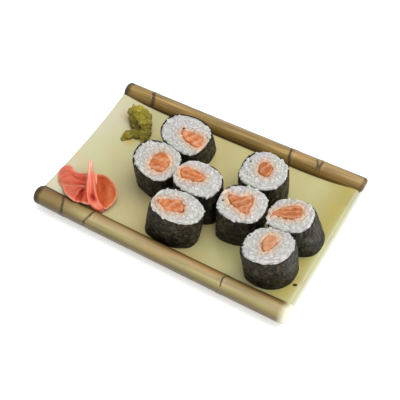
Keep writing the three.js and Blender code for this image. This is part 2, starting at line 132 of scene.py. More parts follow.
soft_light("key", 9.0, 0.9, (0.3, 0.2, 0.95))
soft_light("fill", 0.3, 1.0, (0.2, -0.7, 0.5))
soft_light("side", 2.6, 0.7, (0.85, -0.4, 0.45))

world = bpy.data.worlds.new("studio")
world.use_nodes = True
world.node_tree.nodes["Background"].inputs["Color"].default_value = (1, 1, 1, 1)
world.node_tree.nodes["Background"].inputs["Strength"].default_value = 0.5
bpy.context.scene.world = world
bpy.context.scene.view_settings.view_transform = "Standard"

turn, rise, roll = (math.radians(VIEW[name]) for name in ("azimuth", "elevation", "roll"))
lens = bpy.data.cameras.new("camera")
lens.lens = VIEW_LENS
lens.shift_x, lens.shift_y = VIEW_SHIFT
camera = bpy.data.objects.new("camera", lens)
away = Vector((math.sin(turn) * math.cos(rise), -math.cos(turn) * math.cos(rise), math.sin(rise)))
camera.matrix_world = (
    Matrix.Translation(away * VIEW["distance"])
    @ Matrix.Rotation(turn, 4, "Z")
    @ Matrix.Rotation(math.pi / 2 - rise, 4, "X")
    @ Matrix.Rotation(roll, 4, "Z")
)
bpy.context.scene.collection.objects.link(camera)
bpy.context.scene.camera = camera

# ---- the plate ----
# A rectangular stoneware plate, pressed in one piece. Each long side is moulded as a length of
# bamboo, brushed with brown slip, and the tray between them is glazed cream-yellow. The glaze
# runs thin and white at the right-hand end. A low foot ring underneath keeps it off the table.

HALF_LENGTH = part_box("plate")[1].x
TRAY_FLOOR = 8.3 * MM
TRAY_THICKNESS = 4 * MM
TRAY_FLAT = 45 * MM  # past this far from the middle the tray curves up
TRAY_STEPS = 150  # from end to end
END_STEPS = 12  # round each end
TRAY_RISE = {-1: 4 * MM, 1: 5 * MM}
END_HOLLOW = 1.2 * MM
END_BOW = {-1: 1.5 * MM, 1: 0}
END_ROUNDING = {-1: 2 * MM, 1: 3.4 * MM}
LIP_DROP = 3 * MM  # the right-hand end turns down into a lip that is thicker by this
LIP_SWELL_START = 70 * MM
LIP_START = 83.5 * MM
LIP_FALL = 0.5 * MM
LIP_SQUARENESS = 0.5  # of the lip's lower edge, where 1 is round
RAIL_LINE = 52.1 * MM
RAIL_RADIUS = 6.1 * MM
RAIL_HEIGHT = 8.7 * MM
RAIL_LIFT = 0.6 * MM
RAIL_ROUNDING = 2.2 * MM
RAIL_SIDES = 72
RAIL_STEPS = (0.9 * MM, 0.3 * MM)  # along it, and near its nodes and its ends
NODE_RIDGE = 0.22 * MM
NODE_GROOVE = 0.22 * MM
GRAIN_DEPTH = 0.07 * MM
TRAY_CUTS = 34  # from its middle to each rail
FOOT = {"length": 132 * MM, "width": 74 * MM, "wall": 5 * MM, "corner": 14 * MM, "bevel": 0.8 * MM}

# The painter's strokes over the bamboo's nodes: for each, points of (degrees round the rail from
# its top towards the tray, distance along it in mm), and the stroke's width in mm.
STROKES = {
    -1: [
        ([(90, -73), (31, -71.2), (-11, -68.5), (-59, -67.4), (-95, -67.2)], 1.5),
        ([(90, -46.6), (30, -47.4), (-12, -47.9), (-55, -49.9), (-90, -50.6)], 1.1),
        ([(70, 54), (38, 50.6), (20, 48.2), (4, 47.4), (-25, 48.1), (-58, 49.2)], 0.9),
    ],
    1: [
        ([(-45, -70.6), (-3, -68.4), (30, -66.4), (64, -66.4), (100, -67.6)], 2.0),
        ([(-45, 37.6), (-7, 38.4), (32, 39), (80, 40.6), (110, 41)], 1.2),
        ([(-40, 55.6), (-13, 57), (23, 58.8), (58, 59.8)], 1.0),
        ([(-40, 61), (-14, 60.4), (28, 60), (58, 59.6)], 1.1),
    ],
}
NODES = {-1: (-69, -45, 47.5), 1: (-68.5, 40, 60.5)}
# The slip's edges: towards the tray in degrees round each rail, with its strength there, and the
# others in mm from the plate's middle or its left end. The band towards the tray is partly brown
# slip and partly painted shade where the rail meets the tray.
INNER_EDGE_SLIP_AND_SHADE = {-1: (34, 62, 1), 1: (68, 100, 0.8)}
SLIP_RUN_OUT = (86, 82)
SLIP_LEFT_END = (6.5, 3)
SLIP_RIGHT_END = (88.2, 89.8)
WASABI_SMEAR = (-63.2 * MM, 13.8 * MM, 9 * MM)  # where the wasabi has stained the tray


def tray_height(x, y):
    along = max(0, abs(x) - TRAY_FLAT) / (HALF_LENGTH - TRAY_FLAT)
    across = 1 - min(1, (y / RAIL_LINE) ** 2)
    return TRAY_FLOOR + along ** 2 * (TRAY_RISE[1 if x > 0 else -1] - END_HOLLOW * across)


def blend(start, end, share):
    return start + (end - start) * share


def smooth_step(start, end, value):
    share = max(0.0, min(1.0, (value - start) / (end - start)))
    return share * share * (3 - 2 * share)


@contextmanager
def editing(piece):
    """Opens a piece's mesh for changes, and puts it back."""
    opened = bmesh.new()
    opened.from_mesh(piece.data)
    yield opened
    opened.to_mesh(piece.data)
    opened.free()


def loft(name, rings, caps=True):
    """Joins rings of points into a closed wall. With caps, the first and last ring are filled."""
    count = len(rings[0])
    faces = []
    for r in range(len(rings) - 1 if caps else len(rings)):
        here, there = r * count, (r + 1) % len(rings) * count
        for k in range(count):
            after = (k + 1) % count
            faces.append((here + k, here + after, there + after, there + k))
    if caps:
        faces.append(tuple(range(count - 1, -1, -1)))
        faces.append(tuple(range((len(rings) - 1) * count, len(rings) * count)))
    piece = mesh_object(name, [tuple(point) for ring in rings for point in ring], faces)
    with editing(piece) as made:
        if made.calc_volume(signed=True) < 0:
            bmesh.ops.reverse_faces(made, faces=made.faces)
    return piece


def settle(piece):
    """Turns a piece and its modifiers into one plain mesh."""
    graph = bpy.context.evaluated_depsgraph_get()
    mesh = bpy.data.meshes.new_from_object(piece.evaluated_get(graph))
    piece.modifiers.clear()
    piece.data = mesh


def shade(piece, sharp_angle):
    """Smooth shading, with an edge kept sharp where it bends by more than the angle in degrees."""
    mesh = piece.data
    mesh.shade_smooth()
    mesh.set_sharp_from_angle(angle=math.radians(sharp_angle))


def tray_thickness(x):
    return TRAY_THICKNESS + LIP_DROP * smooth_step(LIP_SWELL_START, HALF_LENGTH - END_ROUNDING[1], x)


def tray_ring(y):
    """The tray's outline from end to end, cut at one distance from its middle."""
    inner = 1 - (y / RAIL_LINE) ** 2
    reach = {side: HALF_LENGTH - END_BOW[side] * inner - END_ROUNDING[side] for side in (1, -1)}
    shares = [i / TRAY_STEPS for i in range(TRAY_STEPS + 1)]
    upper = [Vector((blend(-reach[-1], reach[1], share), y, 0)) for share in shares]
    for point in upper:
        turning = max(0, point.x - LIP_START) / (reach[1] - LIP_START)
        point.z = tray_height(point.x, y) - LIP_FALL * turning ** 2
    lower = [point - Vector((0, 0, tray_thickness(point.x))) for point in reversed(upper)]
    ends = {}
    for side in (1, -1):
        half = tray_thickness(side * reach[side]) / 2
        middle = tray_height(side * reach[side], y) - half - (LIP_FALL if side > 0 else 0)
        ends[side] = []
        for i in range(1, END_STEPS):
            angle = math.pi * i / END_STEPS
            squareness = LIP_SQUARENESS if side > 0 and angle > math.pi / 2 else 1
            out = side * (reach[side] + math.sin(angle) ** squareness * END_ROUNDING[side])
            ends[side].append(Vector((out, y, middle + side * math.cos(angle) * half)))
    return upper + ends[1] + lower + ends[-1]


def rail_axis(x):
    return RAIL_HEIGHT + RAIL_LIFT * (x / HALF_LENGTH) ** 2


def stroke_place(points, angle):
    """Where a painted stroke crosses a rail at an angle, and None past its ends."""
    for (a, start), (b, end) in zip(points, points[1:]):
        if b <= angle <= a or a <= angle <= b:
            return blend(start, end, (angle - a) / (b - a)) * MM
    return None


def rail_radius(x, angle, side):
    """A rail's radius with its nodes' swellings and grooves, its rounded ends and its grain."""
    inset = max(0, RAIL_ROUNDING - (HALF_LENGTH - abs(x)))
    radius = RAIL_RADIUS - RAIL_ROUNDING + math.sqrt(max(0, RAIL_ROUNDING ** 2 - inset ** 2))
    for place in NODES[side]:
        distance = abs(x - place * MM) / MM
        radius += NODE_RIDGE * math.exp(-((distance - 0.9) / 1.1) ** 2)
        radius -= NODE_GROOVE * math.exp(-(distance / 0.5) ** 2)
    around = 9 * side
    streak = noise.noise((x * 25, math.cos(angle) * 7 + around, math.sin(angle) * 7))
    fibre = noise.noise((x * 60, math.cos(angle) * 16, math.sin(angle) * 16 + around))
    return radius + GRAIN_DEPTH * (streak + 0.6 * fibre)


def rail(side):
    """One bamboo rail, with more rings near its nodes and its ends."""
    stations = [-HALF_LENGTH]
    while stations[-1] < HALF_LENGTH:
        x = stations[-1]
        near = min([abs(x - place * MM) for place in NODES[side]] + [HALF_LENGTH - abs(x)])
        stations.append(x + RAIL_STEPS[near < 4 * MM])
    stations[-1] = HALF_LENGTH
    rings = []
    for x in stations:
        ring = []
        for k in range(RAIL_SIDES):
            angle = 2 * math.pi * k / RAIL_SIDES
            radius = rail_radius(x, angle, side)
            y = side * RAIL_LINE + radius * math.sin(angle)
            ring.append(Vector((x, y, rail_axis(x) + radius * math.cos(angle))))
        rings.append(ring)
    return loft("rail", rings)


def rounded_rectangle(length, width, corner, z, steps=8):
    points = []
    for turn, (sign_x, sign_y) in enumerate(((1, 1), (-1, 1), (-1, -1), (1, -1))):
        for i in range(steps + 1):
            angle = math.pi / 2 * (turn + i / steps)
            points.append(Vector((
                sign_x * (length / 2 - corner) + corner * math.cos(angle),
                sign_y * (width / 2 - corner) + corner * math.sin(angle),
                z,
            )))
    return points


def foot_ring():
    top = TRAY_FLOOR - TRAY_THICKNESS / 2
    outside = [(0, FOOT["bevel"]), (FOOT["bevel"], 0), (top, 0)]
    inside = [(z, FOOT["wall"] - inset) for z, inset in reversed(outside)]
    rings = []
    for z, inset in outside + inside:
        size = [FOOT[name] - 2 * inset for name in ("length", "width")]
        rings.append(rounded_rectangle(*size, FOOT["corner"] - inset, z))
    return loft("foot", rings, caps=False)


# The tray's cuts are closer together near the rails, where the glaze pools.
cuts = [RAIL_LINE * math.sin(math.pi / 2 * i / TRAY_CUTS) for i in range(-TRAY_CUTS, TRAY_CUTS + 1)]
plate = loft("plate_stoneware", [tray_ring(y) for y in cuts])
for part in (rail(-1), rail(1), foot_ring()):
    union = plate.modifiers.new("union", "BOOLEAN")
    union.operation = "UNION"
    union.solver = "MANIFOLD"
    union.object = part
    settle(plate)
    bpy.data.objects.remove(part)
shade(plate, 35)


def brushwork_and_shade(point):
    """How dark the brown slip was brushed on at a point of the plate, with the painted shade along the
    tray, from 0 to 1.
    """
    side = 1 if point.y > 0 else -1
    inwards = RAIL_LINE - abs(point.y)
    upwards = point.z - rail_axis(point.x)
    if math.hypot(inwards, upwards) > RAIL_RADIUS + 1 * MM:
        return 0.0
    angle = math.degrees(math.atan2(inwards, upwards))
    dark = 0.0
    for points, width in STROKES[side]:
        place = stroke_place(points, angle)
        if place is not None:
            first, last = points[0][0], points[-1][0]
            fading = min(abs(angle - first), abs(angle - last))
            edge = abs(point.x - place) / (width * MM)
            dark = max(dark, smooth_step(1, 0.35, edge) * smooth_step(0, 30, fading))
    # The band towards the tray is partly brown slip and partly painted shade where the rail meets the
    # tray.
    first, last, strength = INNER_EDGE_SLIP_AND_SHADE[side]
    inner_edge = smooth_step(first, last, angle) * strength * smooth_step(*SLIP_RUN_OUT, point.x / MM)
    from_left = (point.x + HALF_LENGTH) / MM + 1.4 * noise.noise(point * 260)
    left_end = smooth_step(*SLIP_LEFT_END, from_left)
    from_middle = point.x / MM + 0.5 * noise.noise(point * 400)
    right_end = smooth_step(*SLIP_RIGHT_END, from_middle) if side > 0 else 0
    return max(dark, inner_edge * 0.85, left_end, right_end * 0.8)


def store(piece, name, values, kind="FLOAT"):
    """Keeps a value for each vertex of a piece, for its material to read."""
    kept = piece.data.attributes.new(name, kind, "POINT")
    kept.data.foreach_set("value" if kind == "FLOAT" else "vector", values)


def stored(tree, name, output="Fac"):
    """Reads what store kept."""
    return add_node(tree, "ShaderNodeAttribute", attribute_name=name).outputs[output]


def feed(shader, **sources):
    """Links sockets to a shader's inputs."""
    for socket, source in sources.items():
        shader.id_data.links.new(source, shader.inputs[socket.replace("_", " ")])


def figure(tree, operation, *values):
    """What a Math node makes of its values, each a number or a socket."""
    return add_node(tree, "ShaderNodeMath", dict(enumerate(values)), operation=operation).outputs[0]


def vector_figure(tree, operation, *values):
    made = add_node(tree, "ShaderNodeVectorMath", dict(enumerate(values)), operation=operation)
    return made.outputs["Value" if operation in ("DISTANCE", "DOT_PRODUCT", "LENGTH") else "Vector"]


def map_range(tree, value, source=(0.0, 1.0), target=(0.0, 1.0), curve="LINEAR"):
    """Moves a value from its source range to a target range."""
    limits = dict(zip(("From Min", "From Max", "To Min", "To Max"), (*source, *target)))
    return add_node(
        tree, "ShaderNodeMapRange", {"Value": value, **limits}, interpolation_type=curve,
    ).outputs[0]


def between(tree, value, start, end):
    """0 before start, 1 after end and smooth between them. start may be the larger one."""
    target = (0.0, 1.0) if start < end else (1.0, 0.0)
    return map_range(tree, value, sorted((start, end)), target, "SMOOTHSTEP")


def zone(tree, *spans):
    """Where every value has gone from its start to its end, both in mm."""
    inside = 1.0
    for value, start, end in spans:
        inside = figure(tree, "MULTIPLY", inside, between(tree, value, start * MM, end * MM))
    return inside


def object_place(tree):
    """Where a point lies, in metres."""
    return add_node(tree, "ShaderNodeTexCoord").outputs["Object"]


def split(tree, vector):
    return add_node(tree, "ShaderNodeSeparateXYZ", {0: vector}).outputs


# Soft patches of any size and stretch, used by every finish.
mottle_group = bpy.data.node_groups.new("mottle", "ShaderNodeTree")
for socket, kind in (
    ("Size", "Float"), ("Stretch", "Vector"), ("Detail", "Float"), ("Low", "Float"), ("High", "Float"),
):
    mottle_group.interface.new_socket(socket, in_out="INPUT", socket_type=f"NodeSocket{kind}")
mottle_group.interface.new_socket("Amount", in_out="OUTPUT", socket_type="NodeSocketFloat")
given = add_node(mottle_group, "NodeGroupInput").outputs
patches = add_node(
    mottle_group, "ShaderNodeTexNoise",
    {
        "Vector": vector_figure(mottle_group, "DIVIDE", object_place(mottle_group), given["Stretch"]),
        "Scale": figure(mottle_group, "DIVIDE", 1.0, given["Size"]),
        "Detail": given["Detail"],
    },
).outputs["Fac"]
amount = map_range(mottle_group, patches, (given["Low"], given["High"]), curve="SMOOTHSTEP")
add_node(mottle_group, "NodeGroupOutput", {"Amount": amount})


def mottle(tree, size, stretch=(1, 1, 1), detail=3.0, low=0.35, high=0.65):
    """Places the group of patches in a material. size is in mm."""
    values = {"Size": size * MM, "Stretch": stretch, "Detail": detail, "Low": low, "High": high}
    placed = add_node(tree, "ShaderNodeGroup", node_tree=mottle_group)
    for socket, value in values.items():
        placed.inputs[socket].default_value = value
    return placed.outputs["Amount"]


def mix(tree, amount, first, second, share=1, blend_type="MIX"):
    """Mixes two colours, each a value or a socket. share lessens the amount."""
    return add_node(
        tree, "ShaderNodeMix",
        {0: amount if share == 1 else figure(tree, "MULTIPLY", amount, share), 6: first, 7: second},
        data_type="RGBA", blend_type=blend_type,
    ).outputs[2]


def patched(tree, color, tone, share, size, **look):
    """Lays soft patches of a tone over a colour. size is in mm."""
    return mix(tree, mottle(tree, size, **look), color, tone, share)


def ramp(tree, value, stops):
    """A colour that runs through stops of (value, red, green, blue)."""
    node = add_node(tree, "ShaderNodeValToRGB", {0: value})
    elements = node.color_ramp.elements
    while len(elements) < len(stops):
        elements.new(0.5)
    for element, (position, *color) in zip(elements, stops):
        element.position = position
        element.color = paint(*color)
    return node.outputs["Color"]


def dress(piece, node, material):
    """Gives a piece its material, and puts it in its node's place."""
    piece.data.materials.clear()
    piece.data.materials.append(material)
    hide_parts(node)
    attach(piece, "root")


glaze, tree, shader = new_material("glaze", Roughness=0.16, IOR=1.5)
place = object_place(tree)
x, y, z = split(tree, place)

# The tray: paler at the left, yellower at the right, a darker ochre towards the right-hand end
# and white where the glaze ran off the right-hand lip.
cream = ramp(tree, map_range(tree, x, (-HALF_LENGTH, HALF_LENGTH)), [
    (0.0, 184, 176, 156), (0.012, 204, 198, 172), (0.16, 190, 182, 140), (0.45, 190, 174, 120),
    (0.86, 184, 176, 126), (0.95, 172, 160, 96), (0.972, 166, 155, 93), (0.979, 162, 154, 99),
    (0.9857, 158, 152, 108), (0.99, 168, 164, 132), (0.9945, 182, 180, 158), (1.0, 194, 194, 184),
])
cream = patched(tree, cream, paint(190, 194, 136), 0.35, 30, low=0.45)
cream = patched(tree, cream, paint(206, 178, 126), 0.3, 18, low=0.5, high=0.7)
ochre_band = figure(tree, "MULTIPLY", zone(tree, (x, 64, 76), (x, 88, 85)), mottle(tree, 14, low=0.4))
cream = mix(tree, ochre_band, cream, paint(184, 162, 86), 0.5)
# Painted shade on the lower face of the right-hand lip.
lip_underside_shade = zone(tree, (x, 88.5, 89.5), (z, 8.5, 6.5))
cream = mix(tree, lip_underside_shade, cream, paint(150, 150, 140))
smear = zone(tree, (vector_figure(tree, "DISTANCE", place, WASABI_SMEAR), 7, 1))
cream = mix(tree, smear, cream, paint(196, 164, 92), 0.65)

# How far round the rail a point lies: 0 under its outer side, 0.5 on top, 1 under its inner side.
inwards = figure(tree, "SUBTRACT", RAIL_LINE, figure(tree, "ABSOLUTE", y))
upwards = figure(tree, "SUBTRACT", z, RAIL_HEIGHT + RAIL_LIFT / 2)
round_rail = map_range(tree, figure(tree, "ARCTAN2", inwards, upwards), (-math.pi, math.pi))

# The rails: tan on top, olive low down and brown at the tray, in long streaks, redder in places.
# Both ramps are partly the slip's own colour and partly painted shade, darker low down and towards the
# tray.
front_rail_tone_and_shade = ramp(tree, round_rail, [
    (0.26, 92, 80, 50), (0.32, 118, 104, 64), (0.37, 154, 140, 92), (0.42, 176, 164, 118),
    (0.47, 176, 158, 114), (0.51, 168, 146, 102), (0.56, 150, 125, 80), (0.62, 110, 84, 44),
])
back_rail_tone_and_shade = ramp(tree, round_rail, [
    (0.3, 112, 98, 70), (0.44, 150, 130, 92), (0.5, 161, 134, 85), (0.54, 162, 134, 80),
    (0.58, 160, 132, 75), (0.62, 145, 118, 65), (0.66, 134, 106, 58), (0.72, 106, 82, 36),
])
at_back = zone(tree, (y, -10, 10))
bamboo = mix(tree, at_back, front_rail_tone_and_shade, back_rail_tone_and_shade)
streaks = mottle(tree, 2.6, (14, 1, 1), detail=4)
grain = mix(tree, streaks, (0.8, 0.77, 0.7, 1), (1.26, 1.24, 1.2, 1))
for tone, size, length, detail, low, high in (
    ((0.42, 0.38, 0.28, 1), 1.1, 26, 2, 0.4, 0.68),  # fibres
    ((0.34, 0.28, 0.18, 1), 1.5, 50, 1, 0.56, 0.62),  # thin dark lines
):
    look = {"stretch": (length, 1, 1), "detail": detail, "low": low, "high": high}
    grain = patched(tree, grain, tone, 0.5, size, **look)
worn = figure(tree, "MULTIPLY_ADD", at_back, 0.55, 0.45)
grain = mix(tree, worn, (1, 1, 1, 1), grain)
for tone, size, length, low, high in (
    ((1.12, 0.92, 0.84, 1), 9, 2.4, 0.5, 0.66),  # redder
    ((0.88, 0.96, 0.78, 1), 11, 2.2, 0.52, 0.68),  # more olive
):
    look = {"stretch": (length, 1, 1), "detail": 2, "low": low, "high": high}
    grain = patched(tree, grain, tone, 0.6, size, **look)
far_left = zone(tree, (x, -45, -75), (y, 10, -10))
grain = mix(tree, far_left, grain, (0.6, 0.5, 0.36, 1))
bamboo = mix(tree, 1.0, bamboo, grain, blend_type="MULTIPLY")
store(plate, "brushwork_and_shade", [brushwork_and_shade(vertex.co) for vertex in plate.data.vertices])
dark = stored(tree, "brushwork_and_shade")
broken = map_range(tree, mottle(tree, 2.6), target=(0.72, 0.95))
# Dark brown for the slip's strokes and ends, and painted shade along the tray.
bamboo = mix(tree, figure(tree, "MULTIPLY", dark, broken), bamboo, paint(54, 40, 8))
ran_off = zone(tree, (x, 85, 90.5), (y, 40, 30))
bamboo = mix(tree, ran_off, bamboo, paint(222, 218, 192))
under_lip = zone(tree, (x, 89.2, 90), (z, 11.2, 10))
bamboo = mix(tree, under_lip, bamboo, paint(206, 204, 192))

# The slip covers just the rails: what lies within their radius of their axes.
offset = add_node(tree, "ShaderNodeCombineXYZ", {0: inwards, 1: upwards}).outputs[0]
distance = vector_figure(tree, "LENGTH", offset)
on_rail = between(tree, distance, RAIL_RADIUS + 0.9 * MM, RAIL_RADIUS + 0.5 * MM)
gloss = map_range(tree, mottle(tree, 5), target=(0.13, 0.24))
matte = figure(tree, "MULTIPLY_ADD", dark, 0.25, 0.22)
rough = figure(tree, "MULTIPLY_ADD", on_rail, matte, gloss)
feed(shader, Base_Color=mix(tree, on_rail, cream, bamboo), Roughness=rough)
dress(plate, "plate", glaze)

# ---- the rolls ----
# Eight slices of a thin roll, standing on one cut end. Each is a strip of raw salmon in pressed
# sushi rice, wrapped in one layer of toasted nori whose end laps over, and cut with a wet knife.

ROLL_COUNT = 8
MERGED = 0.001 * MM  # points closer than this are one
REFILLS, REFILL = 3, 0.8  # rounds, and the share of what rounding drew in that each puts back


def cad_copy(name, node, levels, sharp_angle, sharpness=0.9):
    """A finer copy of a node's solid, rounded by subdivision except at its sharp edges."""
    piece = bpy.data.objects.new(name, frame["nodes"][node].data.copy())
    bpy.context.scene.collection.objects.link(piece)
    with editing(piece) as solid:
        bmesh.ops.remove_doubles(solid, verts=solid.verts, dist=MERGED)
        bmesh.ops.join_triangles(
            solid, faces=solid.faces, angle_face_threshold=math.radians(40),
            angle_shape_threshold=math.radians(100),
        )
        crease = solid.edges.layers.float.new("crease_edge")
        for edge in solid.edges:
            if edge.calc_face_angle(0) > math.radians(sharp_angle):
                edge[crease] = sharpness
    piece.data.materials.clear()
    finer = piece.modifiers.new("finer", "SUBSURF")
    finer.levels = finer.render_levels = 1
    # Rounding draws a solid in, so its corners first go out by as much as it would draw them in.
    corners = [vertex.co.copy() for vertex in piece.data.vertices]
    for _ in range(REFILLS):
        rounded = piece.evaluated_get(bpy.context.evaluated_depsgraph_get()).data
        for vertex, corner, drawn_in in zip(piece.data.vertices, corners, rounded.vertices):
            vertex.co += (corner - drawn_in.co) * REFILL
        piece.data.update()
    finer.levels = finer.render_levels = levels
    settle(piece)
    return piece


def reshape(piece, move):
    """Moves every vertex by what move(place, normal) returns."""
    moved = []
    for vertex in piece.data.vertices:
        moved.extend(vertex.co + move(vertex.co, vertex.normal))
    piece.data.vertices.foreach_set("co", moved)
    piece.data.update()


def bump(tree, height, depth, strength, coarser=None):
    """Bends the normal by a height of so many mm, on top of a coarser bump."""
    inputs = {"Height": height, "Distance": depth * MM, "Strength": strength}
    if coarser:
        inputs["Normal"] = coarser
    return add_node(tree, "ShaderNodeBump", inputs).outputs["Normal"]


# The nori: dark olive, browner and greyer in patches, dry and finely wrinkled.
nori, tree, shader = new_material("nori", Roughness=0.5, IOR=1.4, Specular_IOR_Level=0.26)
color = mix(tree, mottle(tree, 6, detail=5, low=0.4, high=0.64), paint(2, 2, 1), paint(28, 27, 14))
for tone, share, size, height, detail, low, high in (
    ((40, 26, 20), 1, 9, 1, 4, 0.48, 0.7),
    ((66, 61, 42), 0.55, 1.8, 1.5, 4, 0.52, 0.66),
    ((74, 71, 54), 0.68, 2.6, 1.3, 5, 0.51, 0.64),
    ((84, 80, 62), 0.4, 1, 1.3, 3, 0.52, 0.7),
):
    look = {"stretch": (1, 1, height), "detail": detail, "low": low, "high": high}
    color = patched(tree, color, paint(*tone), share, size, **look)
height = split(tree, object_place(tree))[2]
# Painted shade: the nori darkens towards the plate.
painted_low_shade = zone(tree, (height, 26, 9))
color = mix(tree, painted_low_shade, color, paint(4, 4, 2), 0.55)
dents = bump(tree, mottle(tree, 5, low=0.2, high=0.8), 1.2, 0.8)
fibre = bump(tree, mottle(tree, 1.6, detail=4, low=0.2, high=0.8), 0.4, 1.0, dents)
dryness = map_range(tree, mottle(tree, 3), target=(0.3, 0.6))
feed(shader, Base_Color=color, Roughness=dryness, Normal=fibre)

NORI_WRINKLE = 0.28 * MM
RIM_DROP = 0.75  # how far the sheet's rim lies below the rice's, in mm
RAGGEDNESS = [1.2, 1.4, 1, 1, 2.4, 1.3, 1, 2]  # of each roll's rim, where the knife tore it


def wrinkled(seed, top, raggedness):
    """Moves a sheet's vertices into shallow dents, and frays its upper rim a little."""
    drift = Vector((seed * 7.3, seed * 3.1, 0))

    def move(place, normal):
        outwards = Vector((normal.x, normal.y, 0))
        dent = noise.noise(place * 160 + drift) + 0.5 * noise.noise(place * 420 + drift)
        at_rim = smooth_step(top - 6 * MM, top, place.z)
        torn = 0.45 * noise.noise(place * 180 + drift) + 0.4 * noise.noise(place * 520 + drift)
        fray = at_rim * MM * (min(0.3, torn * raggedness) - RIM_DROP)
        return outwards * dent * NORI_WRINKLE + Vector((0, 0, fray))

    return move


for number in range(1, ROLL_COUNT + 1):
    node = f"nori_{number}"
    sheet = cad_copy(f"nori_wrap_{number}", node, levels=3, sharp_angle=50)
    reshape(sheet, wrinkled(number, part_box(node)[1].z, RAGGEDNESS[number - 1]))
    shade(sheet, 40)
    dress(sheet, node, nori)


def distance_to(points):
    """A function that tells how far a place is from the nearest of some points."""
    search = kdtree.KDTree(len(points))
    for i, point in enumerate(points):
        search.insert(point, i)
    search.balance()
    return lambda place: search.find(place)[2]


# The salmon: moist orange flesh in flakes, with paler lines of fat between them. A line's angle
# and spacing follow how the strip was cut.
FAT_LINES = [(62, 5.2, 0.3), (20, 6, 0.5), (4, 3.4, 0.2), (70, 6, 0), (80, 4.5, 0.5), (52, 4.4, 0.2),
             (28, 3.4, 0.4), (70, 4, 0.3)]
# How brown and how milky each strip is, from 0 to 1.
SALMON_TONES = [(0.12, 0), (0.2, 0), (0.16, 0), (0.16, 0), (0.5, 0), (0.46, 0), (0.5, 0), (0.42, 0.4)]
SALMON_RIM = 1.5 * MM  # how wide its softer, paler edge is
SALMON_SWELL = 0.3  # how far the cut strip bulges past its solid, in mm

salmon, tree, shader = new_material(
    "salmon", Roughness=0.32, IOR=1.4, Subsurface_Weight=0.25, Subsurface_Radius=(1.0, 0.45, 0.25),
    Subsurface_Scale=1.2 * MM,
)
wander = figure(tree, "MULTIPLY", mottle(tree, 5, detail=2), 0.45)
phase = figure(tree, "ADD", stored(tree, "flake"), wander)
fat = between(tree, figure(tree, "PINGPONG", phase, 1.0), 0.45, 1.0)
flesh = mix(tree, mottle(tree, 3), paint(206, 124, 70), paint(184, 98, 48))
flesh = patched(tree, flesh, paint(164, 86, 40), 0.6, 4, low=0.46, high=0.6)
brown, milky, at_rim = split(tree, stored(tree, "tone", "Vector"))
flesh = mix(tree, brown, flesh, paint(140, 80, 40))
flesh = mix(tree, milky, flesh, paint(206, 162, 130))
flesh = mix(tree, fat, flesh, paint(212, 162, 126), 0.42)
soft_edge = figure(tree, "MULTIPLY", at_rim, mottle(tree, 3.4, detail=2, low=0.42, high=0.6))
flesh = mix(tree, soft_edge, flesh, paint(216, 152, 112), 0.4)
feed(shader, Base_Color=flesh, Normal=bump(tree, fat, 0.2, 0.5))

for number, (angle, spacing, shift) in enumerate(FAT_LINES, 1):
    node = f"salmon_{number}"
    strip = cad_copy(f"salmon_strip_{number}", node, levels=3, sharp_angle=60, sharpness=0.6)
    across = Vector((math.sin(math.radians(angle)), -math.cos(math.radians(angle)), 0))
    low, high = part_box(node)
    middle = (low + high) / 2

    def flaked(place, normal):
        line = (place - middle).dot(across) / MM / spacing + shift
        step = abs(line - round(line))
        uneven = 0.25 * noise.noise(place * 500) + 0.3 * step
        return normal * (uneven * (1 if normal.z > 0.2 else 0.4) + SALMON_SWELL) * MM

    reshape(strip, flaked)
    vertices = strip.data.vertices
    lines = [(vertex.co - middle).dot(across) / MM / spacing * 2 + shift * 2 for vertex in vertices]
    store(strip, "flake", lines)
    from_wall = distance_to([vertex.co.xy.to_3d() for vertex in vertices if abs(vertex.normal.z) < 0.4])
    tones = []
    for vertex in vertices:
        at_rim = smooth_step(SALMON_RIM, 0, from_wall(vertex.co.xy.to_3d()))
        tones.extend((*SALMON_TONES[number - 1], at_rim))
    store(strip, "tone", tones, "FLOAT_VECTOR")
    shade(strip, 60)
    dress(strip, node, salmon)

# The rice: short plump grains pressed together over a solid core, raised a little along the nori
# and stained by the salmon where they touch it.
rice, tree, shader = new_material(
    "rice", Roughness=0.4, IOR=1.38, Subsurface_Weight=0.5, Subsurface_Radius=(1.0, 0.9, 0.8),
    Subsurface_Scale=2 * MM,
)
starch = mix(tree, stored(tree, "tint"), paint(202, 198, 190), paint(209, 206, 200))
starch = patched(tree, starch, paint(194, 200, 182), 0.4, 9, low=0.45)
starch = patched(tree, starch, paint(206, 190, 204), 0.35, 6, low=0.5)
starch = mix(tree, stored(tree, "blush"), starch, paint(222, 172, 136), 0.85)
pitted = bump(tree, mottle(tree, 0.8, detail=2, low=0.2, high=0.8), 0.08, 0.2)
feed(shader, Base_Color=starch, Normal=pitted)

UPRIGHT = 0.5  # grains lie where the core's normal rises by more than this
GRAIN_DENSITY = 2.0e6  # to a square metre, before their spacing thins them out
LEAN = 0.16  # in radians, either way
SUNK = 0.37  # the share of its thickness that a grain sinks into the core
GRAIN_ROOM = 0.75 * MM  # how near to the nori a grain's middle may lie
SALMON_ROOM = 0.65 * MM  # how much nearer to the salmon
FREE_TURN = (0.8 * MM, 2.6 * MM)  # from the wall: it turns least at the first and freely at the last

tree = bpy.data.node_groups.new("rice_grains", "GeometryNodeTree")
for socket, kind in (
    ("Geometry", "Geometry"), ("Spacing", "Float"), ("Length", "Float"), ("Width", "Float"),
    ("Thickness", "Float"), ("Stain", "Float"), ("Seed", "Int"), ("Nori", "Object"),
    ("Salmon", "Object"), ("Material", "Material"),
):
    tree.interface.new_socket(socket, in_out="INPUT", socket_type=f"NodeSocket{kind}")
tree.interface.new_socket("Geometry", in_out="OUTPUT", socket_type="NodeSocketGeometry")
start = tree.nodes.new("NodeGroupInput").outputs
end = tree.nodes.new("NodeGroupOutput")


def grow(kind, inputs=None, **settings):
    """Adds a node to the tree that strews the grains."""
    return add_node(tree, kind, inputs, **settings)


